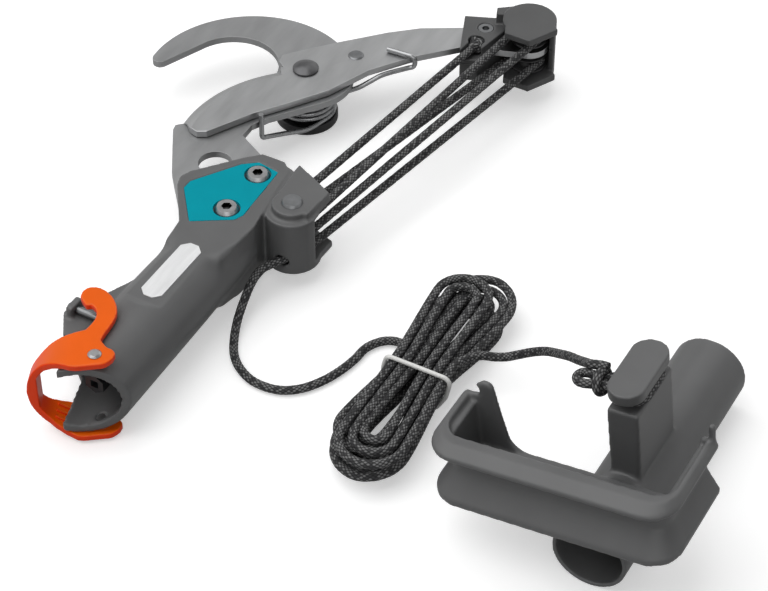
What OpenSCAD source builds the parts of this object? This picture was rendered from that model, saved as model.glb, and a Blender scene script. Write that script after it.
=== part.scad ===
// Rope-pulled bypass lopping head for a pole, with its rope, hank and winding grip.
// X runs along the pole socket towards the blades, Y to the left, Z up.
// The origin is on the socket's axis, where the round part of the locating stub begins.

/* [Pole socket] */
// Radius of the locating stub that a hollow pole end slides over
stub_r = 6; // [5:0.25:6.5]
// Length of the round part of the stub
stub_len = 34; // [30:1:36]
// Length of the hexagonal nose of the stub
stub_nose = 8; // [5:1:10]
// Side of the square recess in the nose
stub_recess = 4.2; // [3:0.2:5]
// Radius of the socket around the pole
socket_r = 17; // [16:0.25:17.5]
// Outer radius of the barrel at its mouth
barrel_mouth_r = 21.6; // [20.6:0.2:22.6]
// Outer radius of the barrel at the clamp block
barrel_head_r = 19.5; // [19:0.1:20]
// Length of the barrel's tongues past the stub's shoulder
tongue_len = 26; // [22:1:30]
// Height of the flat deck above the socket's axis
deck_z = 18; // [17:0.25:18.5]

/* [Clamp block] */
// Length from the origin to the rear clamp bolt
bolt_rear_x = 116; // [112:1:120]
// Distance between the two clamp bolts
bolt_gap = 30.5; // [28:0.5:32]
// Radius of the clamp bolts' shanks
bolt_r = 3; // [2.5:0.25:4]
// Radius of the clamp bolts' button heads
bolt_head_r = 6.7; // [5.5:0.1:7]
// Depth of the coloured inlay
inlay_t = 2; // [1.2:0.2:3]
// Length of the bare plaque
plaque_len = 43; // [30:1:45]
// Width of the bare plaque
plaque_w = 12; // [8:0.5:14]

/* [Blades] */
// Thickness of the fixed hook plate
hook_t = 4; // [3:0.5:5]
// Thickness of the cutting lever
lever_t = 4; // [3:0.5:5]
// Radius of the pivot bolt
pivot_r = 5; // [4:0.5:6]
// Radius of the hook's outer edge
hook_out_r = 58.7; // [57:0.1:61]
// Radius of the hook's throat
hook_in_r = 26.3; // [24:0.1:28]
// Radius of the cutting edge
edge_r = 73; // [71:0.5:75]
// Width of the ground bevel along the cutting edge
bevel_w = 7; // [4:0.5:9]
// Radius of the hole in the hook plate
plate_hole_r = 9; // [6:0.5:10]
// Radius of the stop pin
stop_r = 3; // [2:0.1:3.2]

/* [Return spring] */
// Radius of the spring wire
wire_r = 1.4; // [1:0.1:1.5]
// Radius of the coil at the middle of its wire
coil_r = 15.5; // [15:0.1:15.6]
// Rise of the coil in one turn
coil_pitch = 3.3; // [3.25:0.05:3.4]
// Number of turns, counted whole
coil_turns = 5; // [3:1:5]
// Radius of the cap below the spring
cap_r = 17.5; // [15:0.5:19]

/* [Tackle] */
// Diameter of the rope
rope_d = 4.5; // [4:0.1:4.6]
// Radius of each sheave to the middle of its rope
sheave_pitch_r = 7.5; // [7:0.1:8]
// Radius of each sheave's rim
sheave_rim_r = 10; // [9.8:0.1:10.2]
// Width of each sheave
sheave_w = 8.2; // [7.8:0.1:8.6]
// Radius of the sheaves' axles
axle_r = 3; // [2.5:0.25:3.25]
// Wall around the sheave pockets
pocket_wall = 3.2; // [2.5:0.1:4]

/* [Lock clip] */
// Thickness of the clip
clip_t = 3.5; // [3:0.25:4]
// Width of the clip's band
clip_w = 9; // [8:0.5:11]
// Reach of the band from its rivets
clip_reach = 34.5; // [33:0.5:37]
// Radius of the clip's rivets
rivet_r = 2.5; // [2:0.25:3]

/* [Rope] */
// Length of the hank from end to end
hank_len = 140; // [130:1:150]
// Turns in each of the hank's four layers
hank_turns = 2; // [1:1:2]
// Step between the runs at the ends of the hank
hank_step = 5.6; // [5.55:0.05:5.7]
// Step between the runs at the waist of the hank
waist_step = 5.6; // [5.55:0.05:5.8]
// Radius of the innermost fold of the hank
fold_r = 9; // [8:0.5:10]
// Width of the band that ties the hank
tie_w = 4; // [2:0.5:6]
// Thickness of the band that ties the hank
tie_t = 1.2; // [0.8:0.1:1.5]

/* [Winding grip] */
// Inner radius of the grip's sleeve, which slides on the pole
sleeve_r = 16.4; // [15:0.1:17]
// Wall of the sleeve
sleeve_wall = 2.1; // [1.8:0.1:3]
// Length of the sleeve
sleeve_len = 140; // [120:1:150]
// Width of the rope channel's bar
bar_len = 122; // [114:1:126]
// Length of the channel's left leg along the sleeve
leg_len = 43; // [38:1:48]
// Length of the channel's right leg along the sleeve
right_leg_len = 56; // [50:1:60]
// Height of the rope channel
channel_h = 33.5; // [30:0.5:36]
// Depth of the rope channel along the bar
channel_d = 10; // [8:0.5:11]
// Depth of the rope channel along the legs
leg_d = 6; // [5:0.5:7]
// Height of the channel's lower lip
channel_t = 3.5; // [3:0.5:5]
// Height of the channel's upper band
band_h = 5.5; // [5:0.5:7]
// Height of the post above the channel's floor
post_h = 36; // [32:1:38]
// Width of the post
post_w = 15.5; // [13:0.5:17]
// Length of the post
post_len = 38; // [32:1:40]
// Length of the cap on the post
post_cap_len = 42; // [40:1:46]
// Width of the cap on the post
post_cap_w = 18; // [16:0.5:20]

/* [Hidden] */
$fn = 48;
// Gap between pieces that move past each other, gap in a running bore, gap in a seat
gap = 0.3;
run = 0.05;
seat = 0.1;
cut = 1;
// Clip and rivet heights
clip_gap = 0.4;
clip_inner_z = barrel_mouth_r + clip_gap;
clip_outer_z = clip_inner_z + clip_t;
rivet_head_h = 1.2;

// Heights of the two blades
hook_top = hook_t / 2;
lever_z = hook_top + gap;
lever_top = lever_z + lever_t;
// Pivot of the cutting lever, stop pin, centres of the hook's two edges and of the cutting edge
pivot = [248, 32];
stop_at = [272, 13.7];
hook_out_c = [229.4, 57.3];
hook_in_c = [235.5, 72.65];
edge_c = [188.7, -4.6];
bevel_top = lever_top + 4 * (lever_t + 1) / (bevel_w + 3);
tip_r = 4.3;
tip_dir = 97.35;
tip_at = hook_out_c + (hook_out_r - tip_r) * [cos(tip_dir), sin(tip_dir)];
plate_hole_at = [159.5, 36];
pivot_disc_r = 26.5;
pivot_head_r = 7.2;
pivot_head_h = 3;
core_r = 9;
nut_r = 7.5;
nut_h = 4;

// Barrel, clamp block, wing, tongues
barrel_end_x = 112;
flat_from_x = 28;
block_bottom = -deck_z + 1;
bolt_y = 1;
bolts = [[bolt_rear_x, bolt_y], [bolt_rear_x + bolt_gap, bolt_y]];
bolt_nut_r = bolt_r * 1.92;
bolt_nut_h = 4;
plaque_x = 62.5;
plaque_t = 0.8;
tenon_len = 10;
tenon_r = stub_r * 0.75;
wing_half_h = 9;
wing_wall = 3;
clip_at = [-11.5, -5];
latch_x = 22;
latch_y0 = 14.5;
latch_y1 = 33;
latch_r = 2;
latch_z = wing_half_h + latch_r + gap;

// Spring levels
coil_from = 252.7;
coil_to = 232.9;
coil_sweep = coil_turns * 360 + coil_to - coil_from;
coil_top = -hook_top - gap - wire_r - 0.1;
coil_bottom = coil_top - coil_pitch * coil_sweep / 360;
cap_top = coil_bottom - wire_r - 0.15;
cap_h = 5.3;
cap_bottom = cap_top - cap_h;
// The surface that everything lies on, under the clip's rivet or the spring's cap
floor_z = min(-clip_outer_z - rivet_head_h - 0.3, cap_bottom);

// Sheaves: the body's three and the lever's two
body_axle = [132.6, -27.9];
lever_axle = [329.9, -64.7];
closing = 66;
sheave_step = sheave_w + 1.3;
body_mid_z = 2;
body_sheave_z = [body_mid_z + sheave_step, body_mid_z, body_mid_z - sheave_step];
pocket_top = body_sheave_z[0] + sheave_w / 2 + 0.4;
pocket_bottom = body_sheave_z[2] - sheave_w / 2 - 0.4;
lever_sheave_z = [lever_top + 2.1 + sheave_w / 2, lever_z - 2.7 - sheave_w / 2];
ear_t = 4;
pocket_r = sheave_rim_r + 1.8;
housing_r = pocket_r + pocket_wall - 0.5;
boss_r = 10.5;
boss_h = 4;
axle_head_r = 5.6;

// Lever block, in its own frame along the end of the lever
block_dir = -67.6;
block_split = lever_z + lever_t / 2;
clamp_top = lever_top + 7.7;
clamp_bottom = lever_z - 9.3;
lid_r = 15;
lid_t = 4;
pin_cover = 1.2;
lid_top = lever_sheave_z[0] + sheave_w / 2 + 1.4 + lid_t;
lid_bottom = lever_sheave_z[1] - sheave_w / 2 - 0.9 - lid_t;
lever_end_r = 11;
screw_at = [-24.4, 0];
screw_r = 2.2;
screw_head_r = 4.2;
anchor_at = [-28.6, -12.1];
anchor_z = lever_top + 4.3;
anchor_r = 4.2;

// Grip placement and levels in its own frame
sleeve_out_r = sleeve_r + sleeve_wall;
grip_at = [15, -252, floor_z + sleeve_out_r];
grip_roll = -7;
bar_left = 76.5;
bar_right = bar_left - bar_len;
bar_front = -10;
leg_end = bar_front + leg_len;
right_end = bar_front + right_leg_len;
right_floor_w = 18.5;
tray_z = sleeve_r + 0.6;
tray_floor_t = 3;
corner_r = 15;
band_w = channel_d + 2.5;
leg_w = leg_d + 2.5;
band_slope_h = 3;
slope_h = 13;
rim_w = 5;
post_at = [58, -1.4];
post_z = tray_z + tray_floor_t + post_h;
neck_h = rope_d + 1.2;
neck_w = 9;
neck_len = 22;
tenon_h = 4;
post_cap_h = 5.8;
knot_r = 5.5;

// Small vector helpers
function unit(v) = v / norm(v);
function flat(v) = [v[0], v[1]];
function left_of(v) = [-v[1], v[0]];
function at_angle(a) = [cos(a), sin(a)];
function with_z(p, z) = [p[0], p[1], z];
function angle_of(v) = atan2(v[1], v[0]);
function lift(points, z) = [for (p = points) with_z(p, z)];
function rolled(p) = [p[0], p[1] * cos(grip_roll) - p[2] * sin(grip_roll),
    p[1] * sin(grip_roll) + p[2] * cos(grip_roll)];
function grip_point(p) = grip_at + rolled(p);
function mix(a, b, t) = a + (b - a) * t;
function ease(t) = t * t * (3 - 2 * t);

// Points on an arc of a circle, both ends included
function arc(c, r, a0, a1, n) = [for (i = [0:n]) c + r * at_angle(mix(a0, a1, i / n))];

// Frames along a path: tangents, and normals that turn with the path as little as they can
function tangents(p) = [for (i = [0:len(p) - 1]) unit(p[min(i + 1, len(p) - 1)] - p[max(i - 1, 0)])];
function across(t, n) = unit(n - t * (n * t));
function any_normal(t) = across(t, abs(t[2]) < 0.8 ? [0, 0, 1] : [1, 0, 0]);
function normals(t) = [for (i = 0, n = any_normal(t[0]); i < len(t);
    i = i + 1, n = i < len(t) ? across(t[i], n) : n) n];

// A closed tube of triangles swept along a path
module tube(path, r, sides) {
    t = tangents(path);
    n = normals(t);
    m = len(path);
    points = [for (i = [0:m - 1]) for (k = [0:sides - 1])
        path[i] + r * (cos(360 * k / sides) * n[i] + sin(360 * k / sides) * cross(t[i], n[i]))];
    walls = [for (i = [0:m - 2]) for (k = [0:sides - 1])
        let (a = i * sides + k, b = i * sides + (k + 1) % sides)
        each [[a, a + sides, b], [b, a + sides, b + sides]]];
    near = [for (k = [1:sides - 2]) [0, k, k + 1]];
    last = (m - 1) * sides;
    far = [for (k = [1:sides - 2]) [last, last + k + 1, last + k]];
    polyhedron(points, concat(walls, near, far));
}

// Least gap of a tube to itself, between points further apart along it than the skip
function finer(path, n) = [for (i = [0:len(path) - 2]) for (k = [0:n - 1])
    mix(path[i], path[i + 1], k / n)];
function self_gap(path, d, skip) = min([for (i = [0:len(path) - 1]) for (j = [i + skip:1:len(path) - 1])
    norm(path[i] - path[j])]) - d;

// Tangent points of a rope: from a point to a circle, and crosswise between two equal circles
function point_tangent(p, c, r, side) = let (v = p - c)
    c + r * at_angle(angle_of(v) + side * acos(r / norm(v)));
function cross_dir(a, b, r, side) = let (d = unit(b - a), s = 2 * r / norm(b - a))
    d * s + side * left_of(d) * sqrt(1 - s * s);

// Frame of the lever block: along the lever's end and across it
function block_point(u, w) = lever_axle + u * at_angle(block_dir) + w * at_angle(block_dir + 90);
module on_block() { translate(with_z(lever_axle, 0)) rotate([0, 0, block_dir]) children(); }

// The tackle rope's route: anchor, body, lever, body, lever, body, exit
haul = unit(lever_axle - body_axle);
haul_angle = angle_of(haul);
closed_axle = pivot + norm(lever_axle - pivot) * at_angle(angle_of(lever_axle - pivot) - closing);
closed_angle = angle_of(closed_axle - body_axle);
anchor_mid = block_point(anchor_at[0], anchor_at[1]);
from_anchor = point_tangent(anchor_mid, body_axle, sheave_pitch_r, 1);
anchor_out = anchor_mid + (anchor_r + gap) * unit(from_anchor - anchor_mid);
crossing = cross_dir(body_axle, lever_axle, sheave_pitch_r, -1);
exit_turn = -120;
exit_run = 18.3;
function round_body(a0, a1, z) = lift(arc(body_axle, sheave_pitch_r, a0, a1, 8), z);
function round_lever(a0, a1, z) = lift(arc(lever_axle, sheave_pitch_r, a0, a1, 8), z);
exit_from = body_axle + sheave_pitch_r * at_angle(exit_turn);
exit_dir = at_angle(exit_turn - 90);
exit_at = exit_from + exit_run * exit_dir;
tackle_route = concat(
    [with_z(anchor_out, anchor_z)],
    round_body(angle_of(from_anchor - body_axle), 360 + angle_of(crossing), body_sheave_z[0]),
    round_lever(angle_of(-crossing), haul_angle - 90, lever_sheave_z[0]),
    round_body(haul_angle + 270, haul_angle + 90, body_sheave_z[1]),
    round_lever(haul_angle + 90, haul_angle - 90, lever_sheave_z[1]),
    lift(arc(body_axle, sheave_pitch_r, haul_angle - 90, exit_turn, 2), body_sheave_z[2]),
    [with_z(exit_at, body_sheave_z[2])]);

// The hank: four layers of loops, drawn in at the waist, wound in and out by turns
hank_c = [88.5, -127];
hank_lift = 1.8;
layer_h = 5.35;
hank_z = floor_z + hank_lift + rope_d / 2;
half_turn = 0.5;
layer_turns = hank_turns + half_turn;
hank_total = 4 * layer_turns - half_turn;
run_points = 6;
arc_points = 6;
loop_points = 2 * (run_points + arc_points);
// Distance wound in, in turns, and layer climbed, after a number of turns; each climb is one run
last_layer = 3;
function layer_of(t) = floor((t + 0.25) / layer_turns);
function turn_of(t) = t + 0.25 - layer_of(t) * layer_turns;
function wound_in(t) = let (k = layer_of(t), s = k < last_layer ? min(turn_of(t), hank_turns) : turn_of(t))
    k % 2 == 0 ? s : hank_turns - s;
function climbed(t) = let (k = layer_of(t))
    k < last_layer ? k + max(0, turn_of(t) - hank_turns) / half_turn : k;
// A point of one loop, where q runs from 0 to 1 round it from the middle of the left run
function loop_point(q, inset) = let (
    r = fold_r + hank_step * (hank_turns - inset),
    half = hank_len / 2 - rope_d / 2 - hank_step * inset - r,
    w = waist_step * (hank_turns - inset) + waist_step / 2,
    side = q < 0.5 ? 1 : -1,
    s = (q < 0.5 ? q : q - 0.5) * loop_points,
    half_run = run_points / 2,
    out = min(s, loop_points / 2 - s) / half_run,
    turn = 180 * (s - half_run) / arc_points)
    out >= 1 ? side * [-half - r * sin(turn), r * cos(turn)]
    : side * [-half * out, (s < half_run ? 1 : -1) * mix(w, r, ease(out))];
function hank_point(t) = with_z(hank_c, hank_z + layer_h * climbed(t))
    + with_z(loop_point(t - floor(t), wound_in(t)), 0);
hank_loops = [for (i = [0:round(hank_total * loop_points)]) hank_point(i / loop_points)];
hank_start = hank_loops[0];
hank_end = hank_loops[len(hank_loops) - 1];
hank_route = concat([hank_start + [rope_d, 0, 0]], hank_loops, [hank_end + [rope_d, 0, 0]]);

// Free rope: from the head to the hank, and from the hank to the grip
lie = floor_z + rope_d / 2 + 0.05;
out_z = body_sheave_z[2];
lead_route = concat([with_z(exit_at, out_z), with_z(exit_at + 5.4 * at_angle(157), out_z - 0.5)],
    [[100, -22.6, -10], [90, -23.5, -15], [80, -25.5, -20], [71, -29, lie + 0.9]],
    lift([[63, -34], [56.5, -41], [52, -50], [51, -59], [53, -68], [59, -76], [68, -82], [78, -86],
        [89, -88.5], [99, -89.5], [107, -94]], lie),
    [[110.5, -101, lie + 0.3], [108, -107.5, lie + 0.9]],
    [hank_start + [2.4 * rope_d, 0.6, -0.2], hank_start + [rope_d, 0, 0]]);
knot_at = [52.6, 17.5, post_z + neck_h / 2];
tail_last = [73, -222.8, 48.5];
tail_route = concat([hank_end + [rope_d, 0, 0], hank_end + [2.2 * rope_d, -1.2, -0.2]],
    [[108, -149, -9.5], [112.5, -154.5, -11.5], [115, -160, -11], [115.8, -166.5, -7], [115.1, -174.2, -1],
     [111.2, -183, 7], [104.3, -193.2, 16], [96.5, -201.5, 25], [87.8, -209.8, 34], [80, -217, 42],
     tail_last],
    [grip_point(knot_at) + (knot_r - 0.6) * unit(tail_last - grip_point(knot_at))]);
noose_r = neck_w / 2 + 0.5 + rope_d / 2;
noose_half = neck_len / 2 - neck_w / 2;
noose_route = lift(concat(
    [[50.6, 14], [49.6, 11.2]],
    arc(post_at - [noose_half, 0], noose_r, 100, 270, 8),
    arc(post_at + [noose_half, 0], noose_r, -90, 80, 8),
    [[60, 9.6], [56.4, 12.6], [54.6, 15]]), knot_at[2]);

// A rod along X, and a plate between two heights
module rod_x(x0, x1, r0, r1) {
    translate([x0, 0, 0]) rotate([0, 90, 0]) cylinder(r1 = r0, r2 = r1, h = x1 - x0);
}
module rod_z(p, z0, z1, r) { translate(with_z(p, z0)) cylinder(r = r, h = z1 - z0); }
module slab(z0, z1) { translate([0, 0, z0]) linear_extrude(height = z1 - z0) children(); }
module stadium(len, w) {
    square([len - w, w], center = true);
    for (s = [-1, 1]) translate([s * (len - w) / 2, 0]) circle(d = w);
}

// Outline of the clamp block, and of the inlay within its rim
module block_outline() {
    polygon([[80, 17], [96, 17], [120, 33.5], [126, 35.5], [132, 33], [154, 15], [162, 7], [162, -6],
        [157, -12], [140, -14], [110, -19], [80, -17]]);
}
module inlay_outline() {
    polygon([[119, 28.7], [125, 28.6], [149.4, 12.5], [155, 5.3], [152.8, -7.5], [115.2, -9.2],
        [110.4, -7.2], [98.2, 12.4]]);
}
module wing_outline() {
    polygon([[62, 12], [62, 16], [41.5, 25], [30.7, 33.3], [19.5, 36], [6, 27], [6, 8]]);
}
module wing_pocket() { polygon([[-60, 0], [30, 0], [34, 21], [28.5, 30], [19, 32.6], [2, 22], [-60, 22]]); }
// Everything outside the slanting mouth of the socket
module mouth_cut() {
    polygon([[-90, -40], [-6, -40], [-6, -25], [-tongue_len, 8], [0, 14], [6, 24], [6, 60], [-90, 60]]);
}
// Pulley housing in plan: round at the axle, and drawn out towards the lever's block
module housing_plan() {
    translate(body_axle) circle(r = housing_r);
    polygon([[124, -12], [160, -10], [149, -42], [126, -41]]);
}
module boss_plan() {
    translate(body_axle) circle(r = boss_r);
    polygon([[128, -18.5], [160.9, -15.5], [148.5, -41], [128, -39.5]]);
}
// Room for the sheaves, and for the ropes from the open to the closed lever
module pocket_plan() {
    translate(body_axle) {
        circle(r = pocket_r);
        for (a = [haul_angle, closed_angle]) rotate([0, 0, a])
            translate([0, -pocket_r + 0.6]) square([60, 2 * pocket_r - 1.2]);
    }
}

module head_body() {
    color("#2b2d2f") difference() {
        union() {
            rod_x(-tongue_len, barrel_end_x, barrel_mouth_r, barrel_head_r);
            slab(block_bottom, deck_z) block_outline();
            slab(-wing_half_h, wing_half_h) wing_outline();
            translate([latch_x - 5, latch_y1 - 4, 0]) cube([10, 4, latch_z + latch_r + 2]);
            slab(pocket_bottom - ear_t, pocket_top + 1) housing_plan();
            slab(pocket_top, pocket_top + 1 + boss_h) boss_plan();
        }
        rotate([90, 0, 0]) translate([0, 0, -60]) linear_extrude(height = 75)
            polygon([[flat_from_x, deck_z + 4], [flat_from_x + 10, deck_z], [barrel_end_x + 1, deck_z],
                [barrel_end_x + 1, deck_z + 20], [flat_from_x, deck_z + 20]]);
        rod_x(-tongue_len - cut, stub_len, socket_r, socket_r);
        slab(-40, 40) mouth_cut();
        slab(-wing_half_h + wing_wall, wing_half_h - wing_wall) wing_pocket();
        rod_x(stub_len - cut, stub_len + tenon_len, tenon_r, tenon_r);
        slab(-hook_top, hook_top) polygon([[104, -10], [104, 60], [200, 90], [200, -10]]);
        slab(deck_z - inlay_t, deck_z + cut) inlay_outline();
        translate([plaque_x, 0, 0]) slab(deck_z - plaque_t, deck_z + cut) plaque_plan();
        for (p = bolts) {
            rod_z(p, -30, 30, bolt_r + seat);
            translate(with_z(p, block_bottom - cut))
                cylinder(r = bolt_nut_r + seat, h = bolt_nut_h + cut, $fn = 6);
        }
        slab(pocket_bottom, pocket_top) pocket_plan();
        rod_z(body_axle, -40, 40, axle_r);
        translate(with_z(exit_from, out_z)) rotate([0, 0, exit_turn - 90]) rotate([0, 90, 0])
            cylinder(r = rope_d / 2 + 1, h = 22);
        for (s = [-1, 1]) rod_z(clip_at, s < 0 ? -30 : 5, s < 0 ? -5 : 30, rivet_r);
        translate([latch_x, latch_y0, latch_z]) rotate([-90, 0, 0]) cylinder(r = latch_r, h = 40);
    }
}

module top_inlay() {
    color("#1f9a9c") difference() {
        slab(deck_z - inlay_t, deck_z - 0.3) inlay_outline();
        for (p = bolts) rod_z(p, 0, 40, bolt_head_r + 0.4);
    }
}
// Outline of the plaque, a bar with its corners cut
module plaque_plan() {
    c = plaque_w * 0.3;
    polygon([for (m = [[1, 1], [-1, 1], [-1, -1], [1, -1]]) for (k = m[0] * m[1] > 0 ? [0, 1] : [1, 0])
        [m[0] * (plaque_len / 2 - k * c), m[1] * (plaque_w / 2 - (1 - k) * c)]]);
}
module plaque() {
    color("#c9cbcc") translate([plaque_x, 0, deck_z - plaque_t]) linear_extrude(height = plaque_t + 0.3)
        plaque_plan();
}
// Outline of the hook plate: tang, pivot disc with the lever's stop, hook, tip, jaw, edge under the lever
hook_outline = concat(
    [[106, -8], [160, -8], [165, 5], [177, 18.6], [186, 35], [196, 35.5], [206, 30.5]],
    arc(pivot, pivot_disc_r, -125, -31, 16),
    arc(hook_out_c, hook_out_r, -42.6, tip_dir, 40),
    arc(tip_at, tip_r, tip_dir, 248, 10),
    arc(hook_in_c, hook_in_r, 71.2, -112, 32),
    [[205, 58], [181, 66.5], [176, 71.5], [172, 70.5], [159.8, 63], [141.6, 51.7], [111, 26], [106, 16]]);
module hook_plate() {
    color("#8c9196") difference() {
        slab(-hook_top, hook_top) polygon(hook_outline);
        rod_z(pivot, -20, 20, pivot_r + seat);
        rod_z(plate_hole_at, -20, 20, plate_hole_r);
        for (p = bolts) rod_z(p, -20, 20, bolt_r + seat);
    }
}
module clamp_bolts() {
    color("#b9bcbe") for (p = bolts) difference() {
        union() {
            rod_z(p, block_bottom + 0.4, deck_z - inlay_t + 0.5, bolt_r);
            translate(with_z(p, deck_z - inlay_t))
                cylinder(r1 = bolt_head_r, r2 = bolt_head_r * 0.75, h = 3.2);
        }
        translate(with_z(p, deck_z - inlay_t + 1.4)) cylinder(r = bolt_r * 0.95, h = 8, $fn = 6);
    }
}
module clamp_nuts() {
    color("#8a8d90") for (p = bolts) translate(with_z(p, block_bottom + 0.2)) difference() {
        cylinder(r = bolt_nut_r, h = bolt_nut_h - 0.2, $fn = 6);
        translate([0, 0, -cut]) cylinder(r = bolt_r, h = 8);
    }
}
module pole_stub() {
    color("#17181a") difference() {
        union() {
            rod_x(0, stub_len, stub_r, stub_r);
            rod_x(stub_len, stub_len + tenon_len, tenon_r, tenon_r);
            translate([-stub_nose, 0, 0]) rotate([0, 90, 0])
                cylinder(r = stub_r - 0.2, h = stub_nose, $fn = 6);
        }
        translate([-stub_nose - cut, -stub_recess / 2, -stub_recess / 2])
            cube([stub_nose, stub_recess, stub_recess]);
    }
}
module latch_pin() {
    color("#c4c7c9") translate([latch_x, latch_y0, latch_z]) rotate([-90, 0, 0])
        cylinder(r = latch_r, h = latch_y1 - latch_y0 + 1);
}

// Clip: a plate above the socket, one below it and the band that joins them, all cut to one plan that
// is drawn from the rivets along the band, and the hook on the top plate
clip_band_dir = 113.9;
clip_band_set = 2;
function cut_corners(p) = [for (i = [0 : len(p) - 1]) for (k = [0.2, 0.8]) p[i] * (1 - k)
    + p[(i + 1) % len(p)] * k];
clip_plan = cut_corners([[-9.8, -1.8], [-8.8, 2.4], [-5.4, 6], [0, 7.2], [9.5, 9.4], [15.6, 7], [21.5, 5],
    [26, clip_w / 2 - 1], [clip_reach + 2, clip_w / 2 - 1], [clip_reach + 2, -clip_w / 2 - 0.5],
    [30, -clip_w / 2 - 1], [26.7, -7.6], [23.3, -10.1], [19.7, -11.8], [12.6, -14.3], [7, -16.8],
    [-1.6, -9.7], [-4.7, -5.6], [-7.6, -4.6]]);
clip_hook_plan = cut_corners([[-8, -4], [0, -1.4], [5, -0.8], [12.6, 0.1], [17.8, 1.7], [21.9, 4.6],
    [26, 9.4], [28.4, 15], [28.6, 20], [26.3, 24], [22.5, 25], [18.6, 23.8], [16.2, 20.4], [14.6, 17.4],
    [16.4, 15.8], [15.7, 13.6], [14.2, 11.4], [12, 9.7], [9, 8.6], [5, 8.2], [0, 8.6], [-6, 10]]);
// Section of the plates and the band, thickest at the band's end
module clip_section() {
    middle = clip_reach - clip_outer_z;
    difference() {
        union() {
            translate([middle, 0]) circle(r = clip_outer_z, $fn = 72);
            translate([-20, -clip_outer_z]) square([20 + middle, 2 * clip_outer_z]);
        }
        intersection() {
            translate([middle, 0]) circle(r = clip_inner_z, $fn = 72);
            translate([-60, -40]) square([60 + middle + clip_inner_z - clip_band_set, 80]);
        }
        translate([-60, -clip_inner_z]) square([60 + middle, 2 * clip_inner_z]);
    }
}
module lock_clip() {
    color("#e2461c") difference() {
        union() {
            slab(clip_inner_z, clip_outer_z) polygon(clip_hook_plan);
            translate(with_z(clip_at, 0)) rotate([0, 0, clip_band_dir]) intersection() {
                rotate([90, 0, 0]) slab(-20, 20) clip_section();
                slab(-40, 40) polygon(clip_plan);
            }
        }
        rod_z(clip_at, -40, 40, rivet_r + run);
    }
}
module clip_rivets() {
    color("#9a9da0") for (s = [0, 1]) translate(with_z(clip_at, 0)) mirror([0, 0, s]) {
        translate([0, 0, socket_r]) cylinder(r = rivet_r, h = clip_outer_z + gap - socket_r);
        translate([0, 0, clip_outer_z + gap])
            cylinder(r1 = rivet_r * 1.35, r2 = rivet_r * 0.9, h = rivet_head_h - gap);
    }
}

module lever_plan() {
    intersection() {
        translate(edge_c) circle(r = edge_r, $fn = 120);
        polygon([[182, 78], [178, 65.5], [173.7, 60.7], [172.4, 55.5], [175.1, 50.7], [200.4, 37],
            [217, 25.2], [237.8, 11.3], [256, 20], [256, 48], [242, 52], [215, 74]]);
    }
    polygon(concat(
        [[237.8, 11.3], [263.7, 1], [283.9, -12.9], [289.3, -17.4], [308.3, -35.1]],
        arc(lever_axle, lever_end_r, block_dir - 90, block_dir + 90, 16),
        [[324, -26.9], [311.5, -5.4], [299.1, 8.6], [278.3, 28], [258, 45.5], [252.7, 49.7], [247, 48.5],
            [243.5, 43.5], [234, 26]]));
}
module cutting_lever() {
    color("#a7abaf") difference() {
        slab(lever_z, lever_top) lever_plan();
        translate(with_z(edge_c, 0)) intersection() {
            rotate_extrude($fn = 120) polygon([[edge_r + 3, lever_z - 1], [edge_r + 3, bevel_top],
                [edge_r - bevel_w - 4, bevel_top]]);
            slab(0, 20) polygon([[0, 0], 120 * at_angle(43), 150 * at_angle(76), 120 * at_angle(110)]);
        }
        rod_z(pivot, -20, 20, pivot_r + run);
        rod_z(stop_at, -20, 20, stop_r);
        rod_z(lever_axle, -20, 20, axle_r);
        rod_z(block_point(screw_at[0], screw_at[1]), -20, 20, screw_r + seat);
    }
}
module stop_pin() {
    color("#6f7377") {
        rod_z(stop_at, -hook_top + 0.5, lever_top, stop_r);
        translate(with_z(stop_at, lever_top)) cylinder(r1 = stop_r * 1.5, r2 = stop_r * 1.2, h = 0.8);
    }
}
module pivot_bolt() {
    color("#3a3d40") {
        rod_z(pivot, cap_bottom + 0.8, lever_top + gap + 0.5, pivot_r);
        translate(with_z(pivot, lever_top + gap)) intersection() {
            cylinder(r = pivot_head_r, h = pivot_head_h);
            translate([0, 0, pivot_head_h - 12]) sphere(r = 12);
        }
    }
}
module pivot_nut() {
    color("#2c2e30") difference() {
        translate(with_z(pivot, cap_bottom + 0.5)) cylinder(r = nut_r, h = nut_h, $fn = 6);
        rod_z(pivot, -60, 20, pivot_r);
    }
}
module spring_core() {
    color("#55585c") difference() {
        rod_z(pivot, cap_top, -hook_top, core_r);
        rod_z(pivot, -60, 20, pivot_r + seat);
    }
}
module spring_cap() {
    color("#141516") difference() {
        rod_z(pivot, cap_bottom, cap_top, cap_r);
        rod_z(pivot, -60, 20, pivot_r + seat);
        translate(with_z(pivot, cap_bottom - cut)) cylinder(r = nut_r + seat, h = nut_h + 0.5 + cut, $fn = 6);
    }
}

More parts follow.
